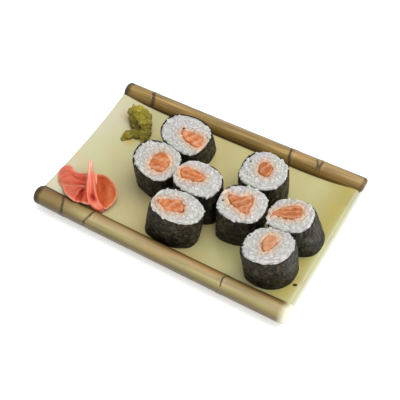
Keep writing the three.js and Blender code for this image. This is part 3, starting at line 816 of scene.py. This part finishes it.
# A grain is a squashed ball, bent a little along its length.
ball = grow("GeometryNodeMeshUVSphere", {"Segments": 8, "Rings": 6, "Radius": 0.5})
place = grow("GeometryNodeInputPosition").outputs[0]
spot = split(tree, place)
squared = figure(tree, "MULTIPLY", spot[0], spot[0])
bow = grow("ShaderNodeCombineXYZ", {1: figure(tree, "MULTIPLY", squared, 0.5)})
bent = grow("GeometryNodeSetPosition", {"Geometry": ball.outputs["Mesh"], "Offset": bow.outputs[0]})
grain_size = grow("ShaderNodeCombineXYZ", {0: start["Length"], 1: start["Width"], 2: start["Thickness"]})
grain = grow("GeometryNodeTransform", {"Geometry": bent.outputs[0], "Scale": grain_size.outputs[0]})


def nearest(socket):
    """Distance to the nearest point of an object, and that point."""
    surface = grow("GeometryNodeObjectInfo", {"Object": start[socket]}).outputs["Geometry"]
    return grow(
        "GeometryNodeProximity", {"Geometry": surface, "Sample Position": place}, target_element="FACES",
    ).outputs


upright = split(tree, grow("GeometryNodeInputNormal").outputs[0])[2]
strewn = grow(
    "GeometryNodeDistributePointsOnFaces",
    {
        "Mesh": start["Geometry"],
        "Selection": figure(tree, "GREATER_THAN", upright, UPRIGHT),
        "Distance Min": start["Spacing"],
        "Density Max": GRAIN_DENSITY,
        "Seed": start["Seed"],
    },
    distribute_method="POISSON",
)
# Near the nori and the salmon, the grains are shorter and lie along the wall.
outside, inside = nearest("Nori"), nearest("Salmon")
inner_room = figure(tree, "ADD", inside["Distance"], SALMON_ROOM)
room = figure(tree, "MINIMUM", outside["Distance"], inner_room)
short = figure(tree, "MULTIPLY_ADD", figure(tree, "DIVIDE", room, start["Length"]), 1.0, 0.5)
short = figure(tree, "MINIMUM", short, 1.0)
wall = grow(
    "GeometryNodeSwitch",
    {
        "Switch": figure(tree, "LESS_THAN", inner_room, outside["Distance"]),
        "False": outside["Position"], "True": inside["Position"],
    },
    input_type="VECTOR",
).outputs[0]
to_wall = vector_figure(tree, "SUBTRACT", wall, place)
along_wall = vector_figure(tree, "CROSS_PRODUCT", to_wall, strewn.outputs["Normal"])
laid = grow(
    "FunctionNodeAlignRotationToVector",
    {"Rotation": strewn.outputs["Rotation"], "Factor": 1.0, "Vector": along_wall},
    axis="X", pivot_axis="Z",
).outputs[0]
freedom = map_range(tree, room, FREE_TURN, (0.12, 1.0))
unequal = grow("FunctionNodeRandomValue", {2: 0.8, 3: 1.12, "Seed": 3}, data_type="FLOAT").outputs[1]
planted = grow(
    "GeometryNodeInstanceOnPoints",
    {
        "Points": strewn.outputs["Points"],
        "Selection": figure(tree, "GREATER_THAN", room, GRAIN_ROOM),
        "Instance": grain.outputs[0],
        "Rotation": laid,
        "Scale": figure(tree, "MULTIPLY", short, unequal),
    },
)
lean = grow(
    "FunctionNodeRandomValue",
    {0: (-LEAN, -LEAN, -math.pi / 2), 1: (LEAN, LEAN, math.pi / 2), "Seed": 5},
    data_type="FLOAT_VECTOR",
).outputs[0]
free_turn = grow("ShaderNodeCombineXYZ", {0: 1.0, 1: 1.0, 2: freedom}).outputs[0]
spun = vector_figure(tree, "MULTIPLY", lean, free_turn)
turned = grow("GeometryNodeRotateInstances", {"Instances": planted.outputs[0], "Rotation": spun})
sink = figure(tree, "MULTIPLY", start["Thickness"], -SUNK)
depth = grow("ShaderNodeCombineXYZ", {2: sink}).outputs[0]
sunk = grow(
    "GeometryNodeTranslateInstances",
    {"Instances": turned.outputs[0], "Translation": depth, "Local Space": False},
)
chance = grow("FunctionNodeRandomValue", {2: 0.0, 3: 1.0, "Seed": 7}, data_type="FLOAT").outputs[1]
tinted = grow(
    "GeometryNodeStoreNamedAttribute",
    {"Geometry": sunk.outputs[0], "Name": "tint", "Value": chance}, data_type="FLOAT", domain="INSTANCE",
)
loose = grow("GeometryNodeRealizeInstances", {0: tinted.outputs[0]})
whole = grow("GeometryNodeJoinGeometry")
tree.links.new(start["Geometry"], whole.inputs[0])
tree.links.new(loose.outputs[0], whole.inputs[0])
to_salmon = nearest("Salmon")["Distance"]
stain = map_range(tree, to_salmon, (start["Stain"], 0.0), curve="SMOOTHSTEP")
stained = grow(
    "GeometryNodeStoreNamedAttribute",
    {"Geometry": whole.outputs[0], "Name": "blush", "Value": stain}, data_type="FLOAT", domain="POINT",
)
smooth = grow("GeometryNodeSetShadeSmooth", {0: stained.outputs[0]})
painted = grow("GeometryNodeSetMaterial", {0: smooth.outputs[0], "Material": start["Material"]})
tree.links.new(painted.outputs[0], end.inputs[0])

CORE_SWELL = 0.25 * MM  # the rice presses against the nori
RIM_RISE = 0.5 * MM  # and stands up along it
RIM_REACH = (3 * MM, 0.8 * MM)  # from no rise to all of it
EVENINGS = 6  # rounds of smoothing


def press_core(piece, nori_wrap):
    """Evens out the top of a core of rice, and presses its sides against the nori."""
    with editing(piece) as core:
        upper = [vertex for vertex in core.verts if vertex.normal.z > 0.4]
        for _ in range(EVENINGS):
            bmesh.ops.smooth_vert(core, verts=upper, factor=0.5, use_axis_z=True)
        for vertex in upper:
            wall = nori_wrap.closest_point_on_mesh(vertex.co)[1]
            from_wall = math.hypot(wall.x - vertex.co.x, wall.y - vertex.co.y)
            uneven = 1 + 0.9 * noise.noise(vertex.co * 300)
            vertex.co.z += RIM_RISE * uneven * smooth_step(*RIM_REACH, from_wall)
        for vertex in core.verts:
            vertex.co += Vector((vertex.normal.x, vertex.normal.y, 0)) * CORE_SWELL


for number in range(1, ROLL_COUNT + 1):
    node = f"rice_{number}"
    filling = cad_copy(f"sushi_rice_{number}", node, levels=2, sharp_angle=50)
    nori_wrap = bpy.data.objects[f"nori_wrap_{number}"]
    press_core(filling, nori_wrap)
    values = {
        "Spacing": 1.7 * MM, "Length": 5.4 * MM, "Width": 2.8 * MM, "Thickness": 2.3 * MM,
        "Stain": 5.4 * MM, "Seed": number, "Nori": nori_wrap,
        "Salmon": bpy.data.objects[f"salmon_strip_{number}"], "Material": rice,
    }
    grains = filling.modifiers.new("grains", "NODES")
    grains.node_group = tree
    for socket in tree.interface.items_tree:
        if socket.in_out == "INPUT" and socket.name in values:
            grains[socket.identifier] = values[socket.name]
    settle(filling)
    dress(filling, node, rice)

# ---- the nori's crumbs ----
# Crumbs of nori that the knife tore off: a few on the rice, near the cut rims, and one on the
# tray. They are loose flakes with ragged outlines, and lie as they fell.

# Each crumb's place in mm, seen from above, its length, width and turn in degrees.
NORI_CRUMBS = [
    ((23.7, -12.2), 1.9, 0.9, 20), ((27.7, -15.5), 1.4, 0.8, 100), ((27.0, 19.8), 1.6, 0.8, 60),
    ((22.8, 21.1), 1.2, 0.7, 150), ((53.6, -37.4), 1.5, 0.8, 40), ((53.7, -29.4), 1.3, 0.7, 80),
    ((-23.8, 23.0), 1.8, 1.0, 130), ((-33.2, -17.2), 2.4, 0.7, 150), ((85.5, -33.5), 2.6, 1.5, 65),
]
CRUMB_THICKNESS = 0.25 * MM
CRUMB_CORNERS = 9
CARRIERS = [plate] + [bpy.data.objects[f"sushi_rice_{number}"] for number in range(1, ROLL_COUNT + 1)]

all_crumbs = bmesh.new()
for index, ((x, y), length, width, turned) in enumerate(NORI_CRUMBS):
    above = Vector((x, y, 60)) * MM
    ground, upwards = Vector((0, 0, 0)), Vector((0, 0, 1))
    for carrier in CARRIERS:
        hit, place, normal, _ = carrier.ray_cast(above, Vector((0, 0, -1)))
        if hit and place.z > ground.z:
            ground, upwards = place, normal
    lying = upwards.to_track_quat("Z", "X").to_matrix() @ Matrix.Rotation(math.radians(turned), 3, "Z")
    rings = []
    for level in (-0.5, 1):
        ring = []
        for k in range(CRUMB_CORNERS):
            angle = 2 * math.pi * k / CRUMB_CORNERS
            cos, sin = math.cos(angle), math.sin(angle)
            ragged = (0.5 + 0.28 * noise.noise((index * 3.7, cos * 1.6, sin * 1.6))) * MM
            flat = Vector((cos * length * ragged, sin * width * ragged, level * CRUMB_THICKNESS))
            ring.append(ground + lying @ flat)
        rings.append(ring)
    crumb = loft("crumb", rings)
    all_crumbs.from_mesh(crumb.data)
    bpy.data.objects.remove(crumb)
crumbs = mesh_object("nori_crumbs", [], [])
all_crumbs.to_mesh(crumbs.data)
all_crumbs.free()
crumbs.data.materials.append(nori)
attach(crumbs, "root")

# ---- the wasabi ----
# A knob of wasabi paste, pinched off and dropped. Its crumbly head hangs over a lower part,
# with a deep crease between them, and a thin spur points to the front left. Its colour holds
# painted light and shade: paler on the head, browner low down and darkest in the crease.

WASABI_TURN = math.radians(31)  # the way that each lump's first half size points, seen from above
WASABI_GRIT = 0.35 * MM  # the finest form that its mesh keeps
WASABI_CLEARANCE = 0.05 * MM

# Each lump's middle and half sizes in mm, and how lit its paste is painted, from 0 to 1.
WASABI_LUMPS = [
    ((-73.3, 30.7, 16.4), (2.0, 2.6, 2.6), 0.3), ((-71.5, 33.4, 17.0), (2.6, 3.0, 2.8), 0.7),
    ((-67.9, 34.5, 17.2), (3.4, 3.4, 2.8), 1.0), ((-63.7, 33.9, 16.6), (3.6, 3.4, 2.8), 0.6),
    ((-60.3, 32.5, 15.8), (3.0, 3.4, 3.0), 0.4), ((-63.1, 29.5, 16.2), (4.0, 3.6, 2.8), 0.8),
    ((-61.1, 27.0, 15.2), (3.4, 2.8, 2.4), 0.7), ((-57.9, 28.2, 14.6), (3.0, 3.0, 2.8), 0.4),
    ((-68.6, 30.1, 14.4), (2.8, 2.8, 2.8), 0.4), ((-66.6, 27.2, 12.5), (2.8, 3.4, 3.0), 0.1),
    ((-64.0, 31.5, 12.0), (4.5, 4.0, 4.0), 0.3), ((-63.5, 26.9, 10.6), (5.0, 6.0, 3.6), 0.0),
    ((-68.3, 26.4, 10.8), (2.6, 5.0, 3.6), 0.1), ((-71.0, 29.5, 12.6), (2.6, 4.0, 3.4), 0.3),
    ((-57.9, 21.9, 11.2), (4.0, 3.4, 2.8), 0.3), ((-55.2, 23.5, 11.6), (2.6, 3.4, 3.2), 0.3),
    ((-55.1, 19.7, 10.4), (3.4, 2.2, 2.0), 0.3), ((-54.7, 16.2, 9.6), (1.2, 2.4, 1.3), 0.2),
    ((-61.6, 19.6, 10.0), (3.4, 3.2, 2.2), 0.1), ((-64.6, 19.4, 10.2), (3.6, 2.8, 2.4), 0.3),
    ((-66.1, 16.2, 10.0), (3.8, 3.0, 2.0), 0.5), ((-67.7, 13.0, 9.2), (2.2, 1.8, 1.0), 0.8),
    ((-67.6, 18.2, 9.7), (2.8, 2.5, 1.7), 0.6), ((-57.2, 25.2, 13.0), (3.6, 2.6, 2.8), 0.25),
    ((-73.6, 35.4, 18.0), (0.6, 0.6, 1.8), 0.3),
]
WASABI_CREASE = [
    (-69.6, 28.4, 13.4), (-67.7, 26.8, 13), (-66.2, 26, 12.9), (-64.8, 25.2, 12.8), (-63.2, 24.4, 12.7),
    (-61.5, 23.7, 12.6),
]

wasabi, tree, shader = new_material(
    "wasabi", Roughness=0.55, IOR=1.4, Subsurface_Weight=0.2, Subsurface_Radius=(1.0, 1.0, 0.3),
    Subsurface_Scale=0.6 * MM,
)
# Painted light and shade: paler where a lump is painted as lit, darker where painted as shaded.
paste = mix(tree, stored(tree, "pale"), paint(90, 78, 12), paint(162, 148, 44))
paste = patched(tree, paste, paint(176, 164, 84), 0.25, 4, detail=4, low=0.45)
paste = patched(tree, paste, paint(108, 116, 12), 0.55, 5, low=0.5)
# Painted shade in the crease under the head.
paste = mix(tree, stored(tree, "crease"), paste, paint(82, 56, 8))
crumb = bump(tree, mottle(tree, 0.8, detail=4, low=0.2, high=0.8), 0.15, 0.6)
feed(shader, Base_Color=paste, Normal=crumb)

lump = mesh_object("wasabi_lump", [], [])
into_lumps = []
with editing(lump) as balls:
    for middle, size, painted_lightness in WASABI_LUMPS:
        placed = (
            Matrix.Translation(Vector(middle) * MM) @ Matrix.Rotation(WASABI_TURN, 4, "Z")
            @ Matrix.Diagonal((*(Vector(size) * MM), 1))
        )
        bmesh.ops.create_icosphere(balls, subdivisions=3, radius=1, matrix=placed)
        into_lumps.append((placed.inverted(), painted_lightness))
fused = lump.modifiers.new("fused", "REMESH")
fused.mode = "VOXEL"
fused.voxel_size = WASABI_GRIT
softer = lump.modifiers.new("softer", "SMOOTH")
softer.factor = 0.5
softer.iterations = 4
settle(lump)


def painted_light_of_paste(place):
    """How lit the paste is painted at a point: that of the lumps around it, the nearest most of all."""
    total = weights = 0
    for into_lump, painted_lightness in into_lumps:
        weight = math.exp(-7 * max(0, (into_lump @ place).length - 1))
        total += weight * painted_lightness
        weights += weight
    return total / weights


def crease_depth(place):
    """How deep a point lies in the crease under the head, from 0 to 1."""
    return math.exp(-min((place / MM - Vector(point)).length for point in WASABI_CREASE) ** 2 / 2.2)


def crumbled(place, normal):
    lumpy = noise.noise(place * 240)
    cracks = min(0.25, abs(noise.noise(place * 430 + Vector((4, 1, 7)))))
    grit = noise.noise(place * 1100)
    out = 0.6 * lumpy + 2.4 * cracks + 0.3 * grit - 0.4 - 0.9 * crease_depth(place)
    moved = normal * out * MM
    floor = tray_height(place.x, place.y) + WASABI_CLEARANCE
    moved.z = max(moved.z, floor - place.z)
    return moved


for name, measure in (("pale", painted_light_of_paste), ("crease", crease_depth)):
    store(lump, name, [measure(vertex.co) for vertex in lump.data.vertices])
reshape(lump, crumbled)
shade(lump, 60)
dress(lump, "wasabi", wasabi)

# ---- the ginger ----
# Pickled young ginger in thin translucent slices, dropped in a loose heap: two crumpled fans, a
# slice curled into a cup, one folded lengthwise along it and a small flap between the two.

GINGER_THICKNESS = 0.8 * MM
GINGER_STEPS = 8  # between two points of a net
GINGER_RIM = 2.0 * MM  # how wide its paler rim is
FIBRE_SPACING = 0.35 * MM

# Each slice is a net of points in mm: rows from its root or tail, and the cup's from its middle.
GINGER_NETS = {
    "ginger_fan_1": [
        [(-88.2, -31.2, 12.4), (-86.7, -27.6, 13.4), (-82.6, -26.3, 14.4), (-76.8, -28.8, 15),
         (-72.2, -28.6, 15.4), (-68.2, -26.4, 15.5)],
        [(-87.3, -33.8, 12.1), (-83.3, -31.2, 14.6), (-78.5, -30.2, 15.6), (-73.3, -31.7, 15.9),
         (-69.3, -30.7, 16.3), (-65.9, -29, 16.2)],
        [(-85.8, -36.3, 11.9), (-81.6, -33.8, 13.6), (-76.5, -32.6, 14.2), (-72.2, -32.8, 14.4),
         (-68.4, -32, 14.8), (-64.8, -30.7, 15.2)],
        [(-83.9, -38.5, 11.8), (-79, -37, 14), (-73.8, -35.8, 15), (-69.9, -35.1, 15.2),
         (-66.3, -33.9, 15.6), (-63.1, -33.3, 15.6)],
        [(-82.2, -39.7, 11.4), (-77.5, -38.7, 12.8), (-72.8, -37.4, 13.4), (-69.4, -36, 13.6),
         (-65.9, -34.7, 14.2), (-62.7, -34.4, 14.6)],
        [(-80.5, -40.6, 11.2), (-76.1, -40.1, 12), (-72.1, -38.5, 12.4), (-68.7, -36.8, 12.8),
         (-65.2, -35.8, 13.6), (-62.4, -35.3, 14)],
    ],
    "ginger_fan_2": [
        [(-65.7, -34.8, 13.2), (-65.4, -35, 13.2), (-65.2, -35.2, 13.2), (-64.7, -35.6, 13.6),
         (-64.5, -35.7, 13.6), (-64.6, -35.5, 12.6), (-64.4, -35.3, 12.6), (-63.3, -35.8, 13.8),
         (-62.9, -35.5, 13.8), (-62.9, -34.9, 13)],
        [(-70.4, -36.1, 12.6), (-69.1, -37.3, 13.2), (-67.8, -38.9, 13.8), (-66.7, -39.5, 15.2),
         (-64.8, -40.6, 16), (-65.2, -39.6, 12.2), (-64.3, -39.2, 11.8), (-60.6, -40.6, 15.8),
         (-59.6, -39.7, 15), (-59.8, -38.4, 13)],
        [(-75.4, -38, 12), (-72.6, -40.2, 13), (-70.4, -43, 13.6), (-67.1, -43.8, 15.8),
         (-63.9, -45.1, 16.2), (-64.2, -43.3, 12.2), (-62.9, -42.8, 12), (-58.5, -44.7, 16),
         (-57.1, -43.5, 15), (-56.6, -41.9, 13)],
        [(-81, -39.8, 11), (-76.9, -42.7, 12), (-72.2, -46.2, 13.8), (-66.8, -48.4, 15.8),
         (-63.1, -49.2, 16), (-61.9, -48, 14.2), (-59.6, -47.4, 14.2), (-56.8, -47.7, 15.8),
         (-54.3, -46.9, 15.2), (-53.1, -45.6, 14)],
    ],
    "ginger_fan_3": [
        [(-63.8, -26.3, 18.2), (-63.0, -25.6, 18.4), (-62.0, -25.3, 18.3), (-61.1, -25.6, 17.9)],
        [(-62.0, -28.5, 17.4), (-61.1, -28.0, 17.4), (-60.3, -27.6, 17.3), (-59.8, -27.5, 17.0)],
        [(-60.2, -30.8, 16.2), (-59.4, -30.5, 16.2), (-58.7, -30.3, 16.1), (-58.1, -30.2, 16.0)],
        [(-58.5, -32.8, 15.0), (-58.1, -32.9, 15.0), (-57.7, -32.9, 15.0), (-57.5, -32.9, 14.8)],
    ],
    "ginger_trough": [
        [(-70.3, -20.4, 17.6), (-70.6, -20.5, 18.9), (-70.3, -20.3, 20.2), (-69.8, -19.8, 19.8),
         (-69.1, -19.7, 20.2), (-68.7, -19.5, 18.9), (-68.9, -19.6, 17.6)],
        [(-67.3, -24.7, 17.0), (-67.6, -24.9, 18.6), (-67.2, -24.6, 20.2), (-66.8, -23.9, 19.7),
         (-66.0, -23.8, 20.2), (-65.6, -23.6, 18.6), (-65.8, -23.7, 17.0)],
        [(-65.1, -28.7, 15.4), (-65.4, -28.8, 17.6), (-65.0, -28.6, 19.8), (-64.3, -27.6, 19.1),
         (-62.9, -27.4, 19.8), (-62.5, -27.1, 17.6), (-62.8, -27.3, 15.4)],
        [(-63.1, -32.8, 13.6), (-63.3, -32.9, 16.2), (-62.9, -32.7, 18.8), (-61.7, -31.3, 18.0),
         (-59.5, -30.9, 18.8), (-59.1, -30.6, 16.2), (-59.4, -30.8, 13.6)],
        [(-61.0, -36.6, 12.0), (-61.3, -36.7, 14.7), (-60.9, -36.5, 17.4), (-59.4, -34.6, 16.2),
         (-56.9, -34.3, 17.4), (-56.4, -34.0, 14.7), (-56.7, -34.2, 12.0)],
        [(-59.2, -39.7, 10.8), (-59.4, -39.9, 13.4), (-59.0, -39.6, 15.9), (-58.2, -36.6, 12.9),
         (-54.9, -36.8, 15.9), (-54.4, -36.5, 13.4), (-54.7, -36.7, 10.8)],
        [(-56.4, -42.7, 10.0), (-56.7, -42.8, 12.4), (-56.3, -42.6, 14.8), (-56.9, -38.2, 9.6),
         (-52.2, -39.2, 14.8), (-51.8, -38.9, 12.4), (-52.0, -39.1, 10.0)],
        [(-52.9, -44.9, 9.8), (-53.2, -45.0, 11.9), (-52.8, -44.8, 14.0), (-51.2, -43.0, 13.6),
         (-49.4, -41.1, 14.0), (-48.9, -40.9, 11.9), (-49.2, -41.0, 9.8)],
        [(-48.9, -45.7, 9.6), (-49.2, -45.8, 11.3), (-48.7, -45.6, 13.0), (-47.7, -44.0, 12.8),
         (-46.3, -42.5, 13.0), (-45.8, -42.2, 11.3), (-46.1, -42.4, 9.6)],
        [(-47.2, -45.4, 9.7), (-47.4, -45.5, 10.9), (-46.9, -45.3, 12.3), (-46.2, -44.4, 12.5),
         (-45.5, -43.4, 12.3), (-45.1, -43.2, 10.9), (-45.4, -43.3, 9.7)],
        [(-46.1, -44.7, 9.4), (-46.0, -44.7, 9.8), (-45.8, -44.6, 10.3), (-45.5, -44.3, 10.4),
         (-45.2, -44.0, 10.3), (-45.1, -43.9, 9.8), (-45.3, -43.9, 9.4)],
    ],
}
CUP_MIDDLE = (-53.6, -34.3, 9.7)
CUP_RIM = [
    (-62.4, -26.8, 15.5), (-61.7, -24.9, 16.5), (-58.9, -23.6, 17), (-55.6, -23.1, 17),
    (-51.5, -24.2, 16.8), (-47.6, -25.6, 16), (-44.4, -27.9, 15), (-42.3, -30.8, 14),
    (-41.6, -33.7, 13), (-41.9, -36.5, 12), (-42.6, -39.7, 11.3), (-43.9, -42.3, 11.1),
    (-47.4, -42.3, 11.2), (-50.7, -40.4, 11.8), (-53.7, -38.1, 12.8), (-56.3, -35.5, 13.8),
    (-58.6, -32.5, 14.6), (-60.8, -29.5, 15),
]
CUP_PROFILE = [(0, 0), (0.35, 0.1), (0.65, 0.36), (0.88, 0.74), (1, 1)]  # share out, share up

cup_net = []
for out, up in CUP_PROFILE:
    cup_net.append([
        tuple(blend(a, b, share) for a, b, share in zip(CUP_MIDDLE, edge, (out, out, up)))
        for edge in CUP_RIM
    ])
GINGER_NETS["ginger_cup"] = cup_net


def curve_through(points, closed=False):
    """More points, on a smooth curve through the given ones."""
    count = len(points)
    curve = []
    for i in range(count if closed else count - 1):
        near = [(i + k) % count if closed else min(max(i + k, 0), count - 1) for k in (-1, 0, 1, 2)]
        before, start, end, after = (points[k] for k in near)
        for k in range(GINGER_STEPS):
            t = k / GINGER_STEPS
            curve.append(
                start + (end - before) * t / 2
                + (before * 2 - start * 5 + end * 4 - after) * t ** 2 / 2
                + (start * 3 - before - end * 3 + after) * t ** 3 / 2
            )
    return curve if closed else curve + [points[-1]]


def ginger_slice(name, net, closed, waviness, turned, seed):
    """A thin crumpled slice through a net. Its rim and its fibres are stored for the material."""
    rows = [curve_through([Vector(point) * MM for point in row], closed) for row in net]
    lines = [curve_through(list(column)) for column in zip(*rows)]
    across, along = len(lines), len(lines[0])
    faces = []
    for i in range(across if closed else across - 1):
        for j in range(along - 1):
            after = (i + 1) % across
            faces.append((i * along + j, after * along + j, after * along + j + 1, i * along + j + 1))
    piece = mesh_object(name, [tuple(point) for line in lines for point in line], faces)
    fibres = []
    for i, line in enumerate(lines):
        run, beside = 0.0, i * FIBRE_SPACING
        for j, point in enumerate(line):
            run += (point - line[j - 1]).length if j else 0.0
            if closed:
                fibres.extend((point.x / 4, point.y, seed))
            else:
                fibres.extend((run, beside, seed) if turned else (beside, run, seed))
    store(piece, "fibre", fibres, "FLOAT_VECTOR")

    def crumpled(place, normal):
        drift = Vector((0, 0, seed * 5))
        fold = noise.noise(place * 230 + drift) + 0.45 * noise.noise(place * 600 + drift)
        return normal * fold * waviness * MM

    with editing(piece) as sheet:
        bmesh.ops.remove_doubles(sheet, verts=sheet.verts, dist=MERGED)
    reshape(piece, crumpled)
    with editing(piece) as sheet:
        from_rim = distance_to([vertex.co.copy() for vertex in sheet.verts if vertex.is_boundary])
        rim = sheet.verts.layers.float.new("rim")
        for vertex in sheet.verts:
            vertex[rim] = smooth_step(GINGER_RIM, 0, from_rim(vertex.co))
    body = piece.modifiers.new("body", "SOLIDIFY")
    body.thickness = GINGER_THICKNESS
    body.offset = 0
    rounding = piece.modifiers.new("rounding", "SUBSURF")
    rounding.levels = rounding.render_levels = 1
    settle(piece)
    shade(piece, 80)
    return piece


def ginger_material(name, light, shaded, hollow_shade, streaks, start, end, direction=(0.856, 0.517, 0)):
    """Moist translucent flesh, with painted shade: it runs from light to shaded between two distances
    in a direction, which points from the fans to the cup, and is darkest low down in the hollows."""
    material, tree, shader = new_material(
        f"ginger_{name}", Roughness=0.42, IOR=1.4, Specular_IOR_Level=0.35, Subsurface_Weight=0.45,
        Subsurface_Radius=(1.0, 0.4, 0.25), Subsurface_Scale=1.2 * MM,
    )
    place = object_place(tree)
    shaded_share = zone(tree, (vector_figure(tree, "DOT_PRODUCT", place, direction), start, end))
    flesh = mix(tree, shaded_share, paint(*light), paint(*shaded))
    flesh = patched(tree, flesh, paint(*shaded), 0.35, 4)
    # Painted shade, darkest low down in the hollows.
    low = figure(tree, "MULTIPLY", zone(tree, (split(tree, place)[2], 14, 11.5)), shaded_share)
    flesh = mix(tree, low, flesh, paint(*hollow_shade))
    fibre = vector_figure(tree, "MULTIPLY", stored(tree, "fibre", "Vector"), (700, 110, 100))
    fibre = add_node(tree, "ShaderNodeTexNoise", {"Vector": fibre, "Scale": 1.0, "Detail": 3.0})
    fibre = fibre.outputs["Fac"]
    flesh = mix(tree, between(tree, fibre, 0.42, 0.66), flesh, paint(240, 150, 118), streaks)
    flesh = mix(tree, stored(tree, "rim"), flesh, paint(236, 172, 144), 0.5)
    feed(shader, Base_Color=flesh, Normal=bump(tree, fibre, 0.25, 1.5 * streaks))
    return material


pink = ginger_material("pink", (212, 108, 84), (182, 66, 46), (164, 42, 24), 0.35, -84, -74)
pale = ginger_material(
    "pale", (238, 190, 166), (222, 122, 98), (198, 84, 60), 0.25, -68, -61, direction=(1, 0, 0),
)
orange = ginger_material("orange", (208, 118, 74), (190, 92, 50), (176, 80, 36), 0.06, -57.5, -62.5)
for seed, (node, waviness, turned, flesh) in enumerate((
    ("ginger_fan_1", 0.5, True, pink), ("ginger_fan_2", 0.3, False, pink),
    ("ginger_fan_3", 0.3, False, pale), ("ginger_trough", 0.25, False, pale),
    ("ginger_cup", 0.5, False, orange),
)):
    closed = node == "ginger_cup"
    ginger = ginger_slice(f"{node}_slice", GINGER_NETS[node], closed, waviness, turned, seed)
    dress(ginger, node, flesh)
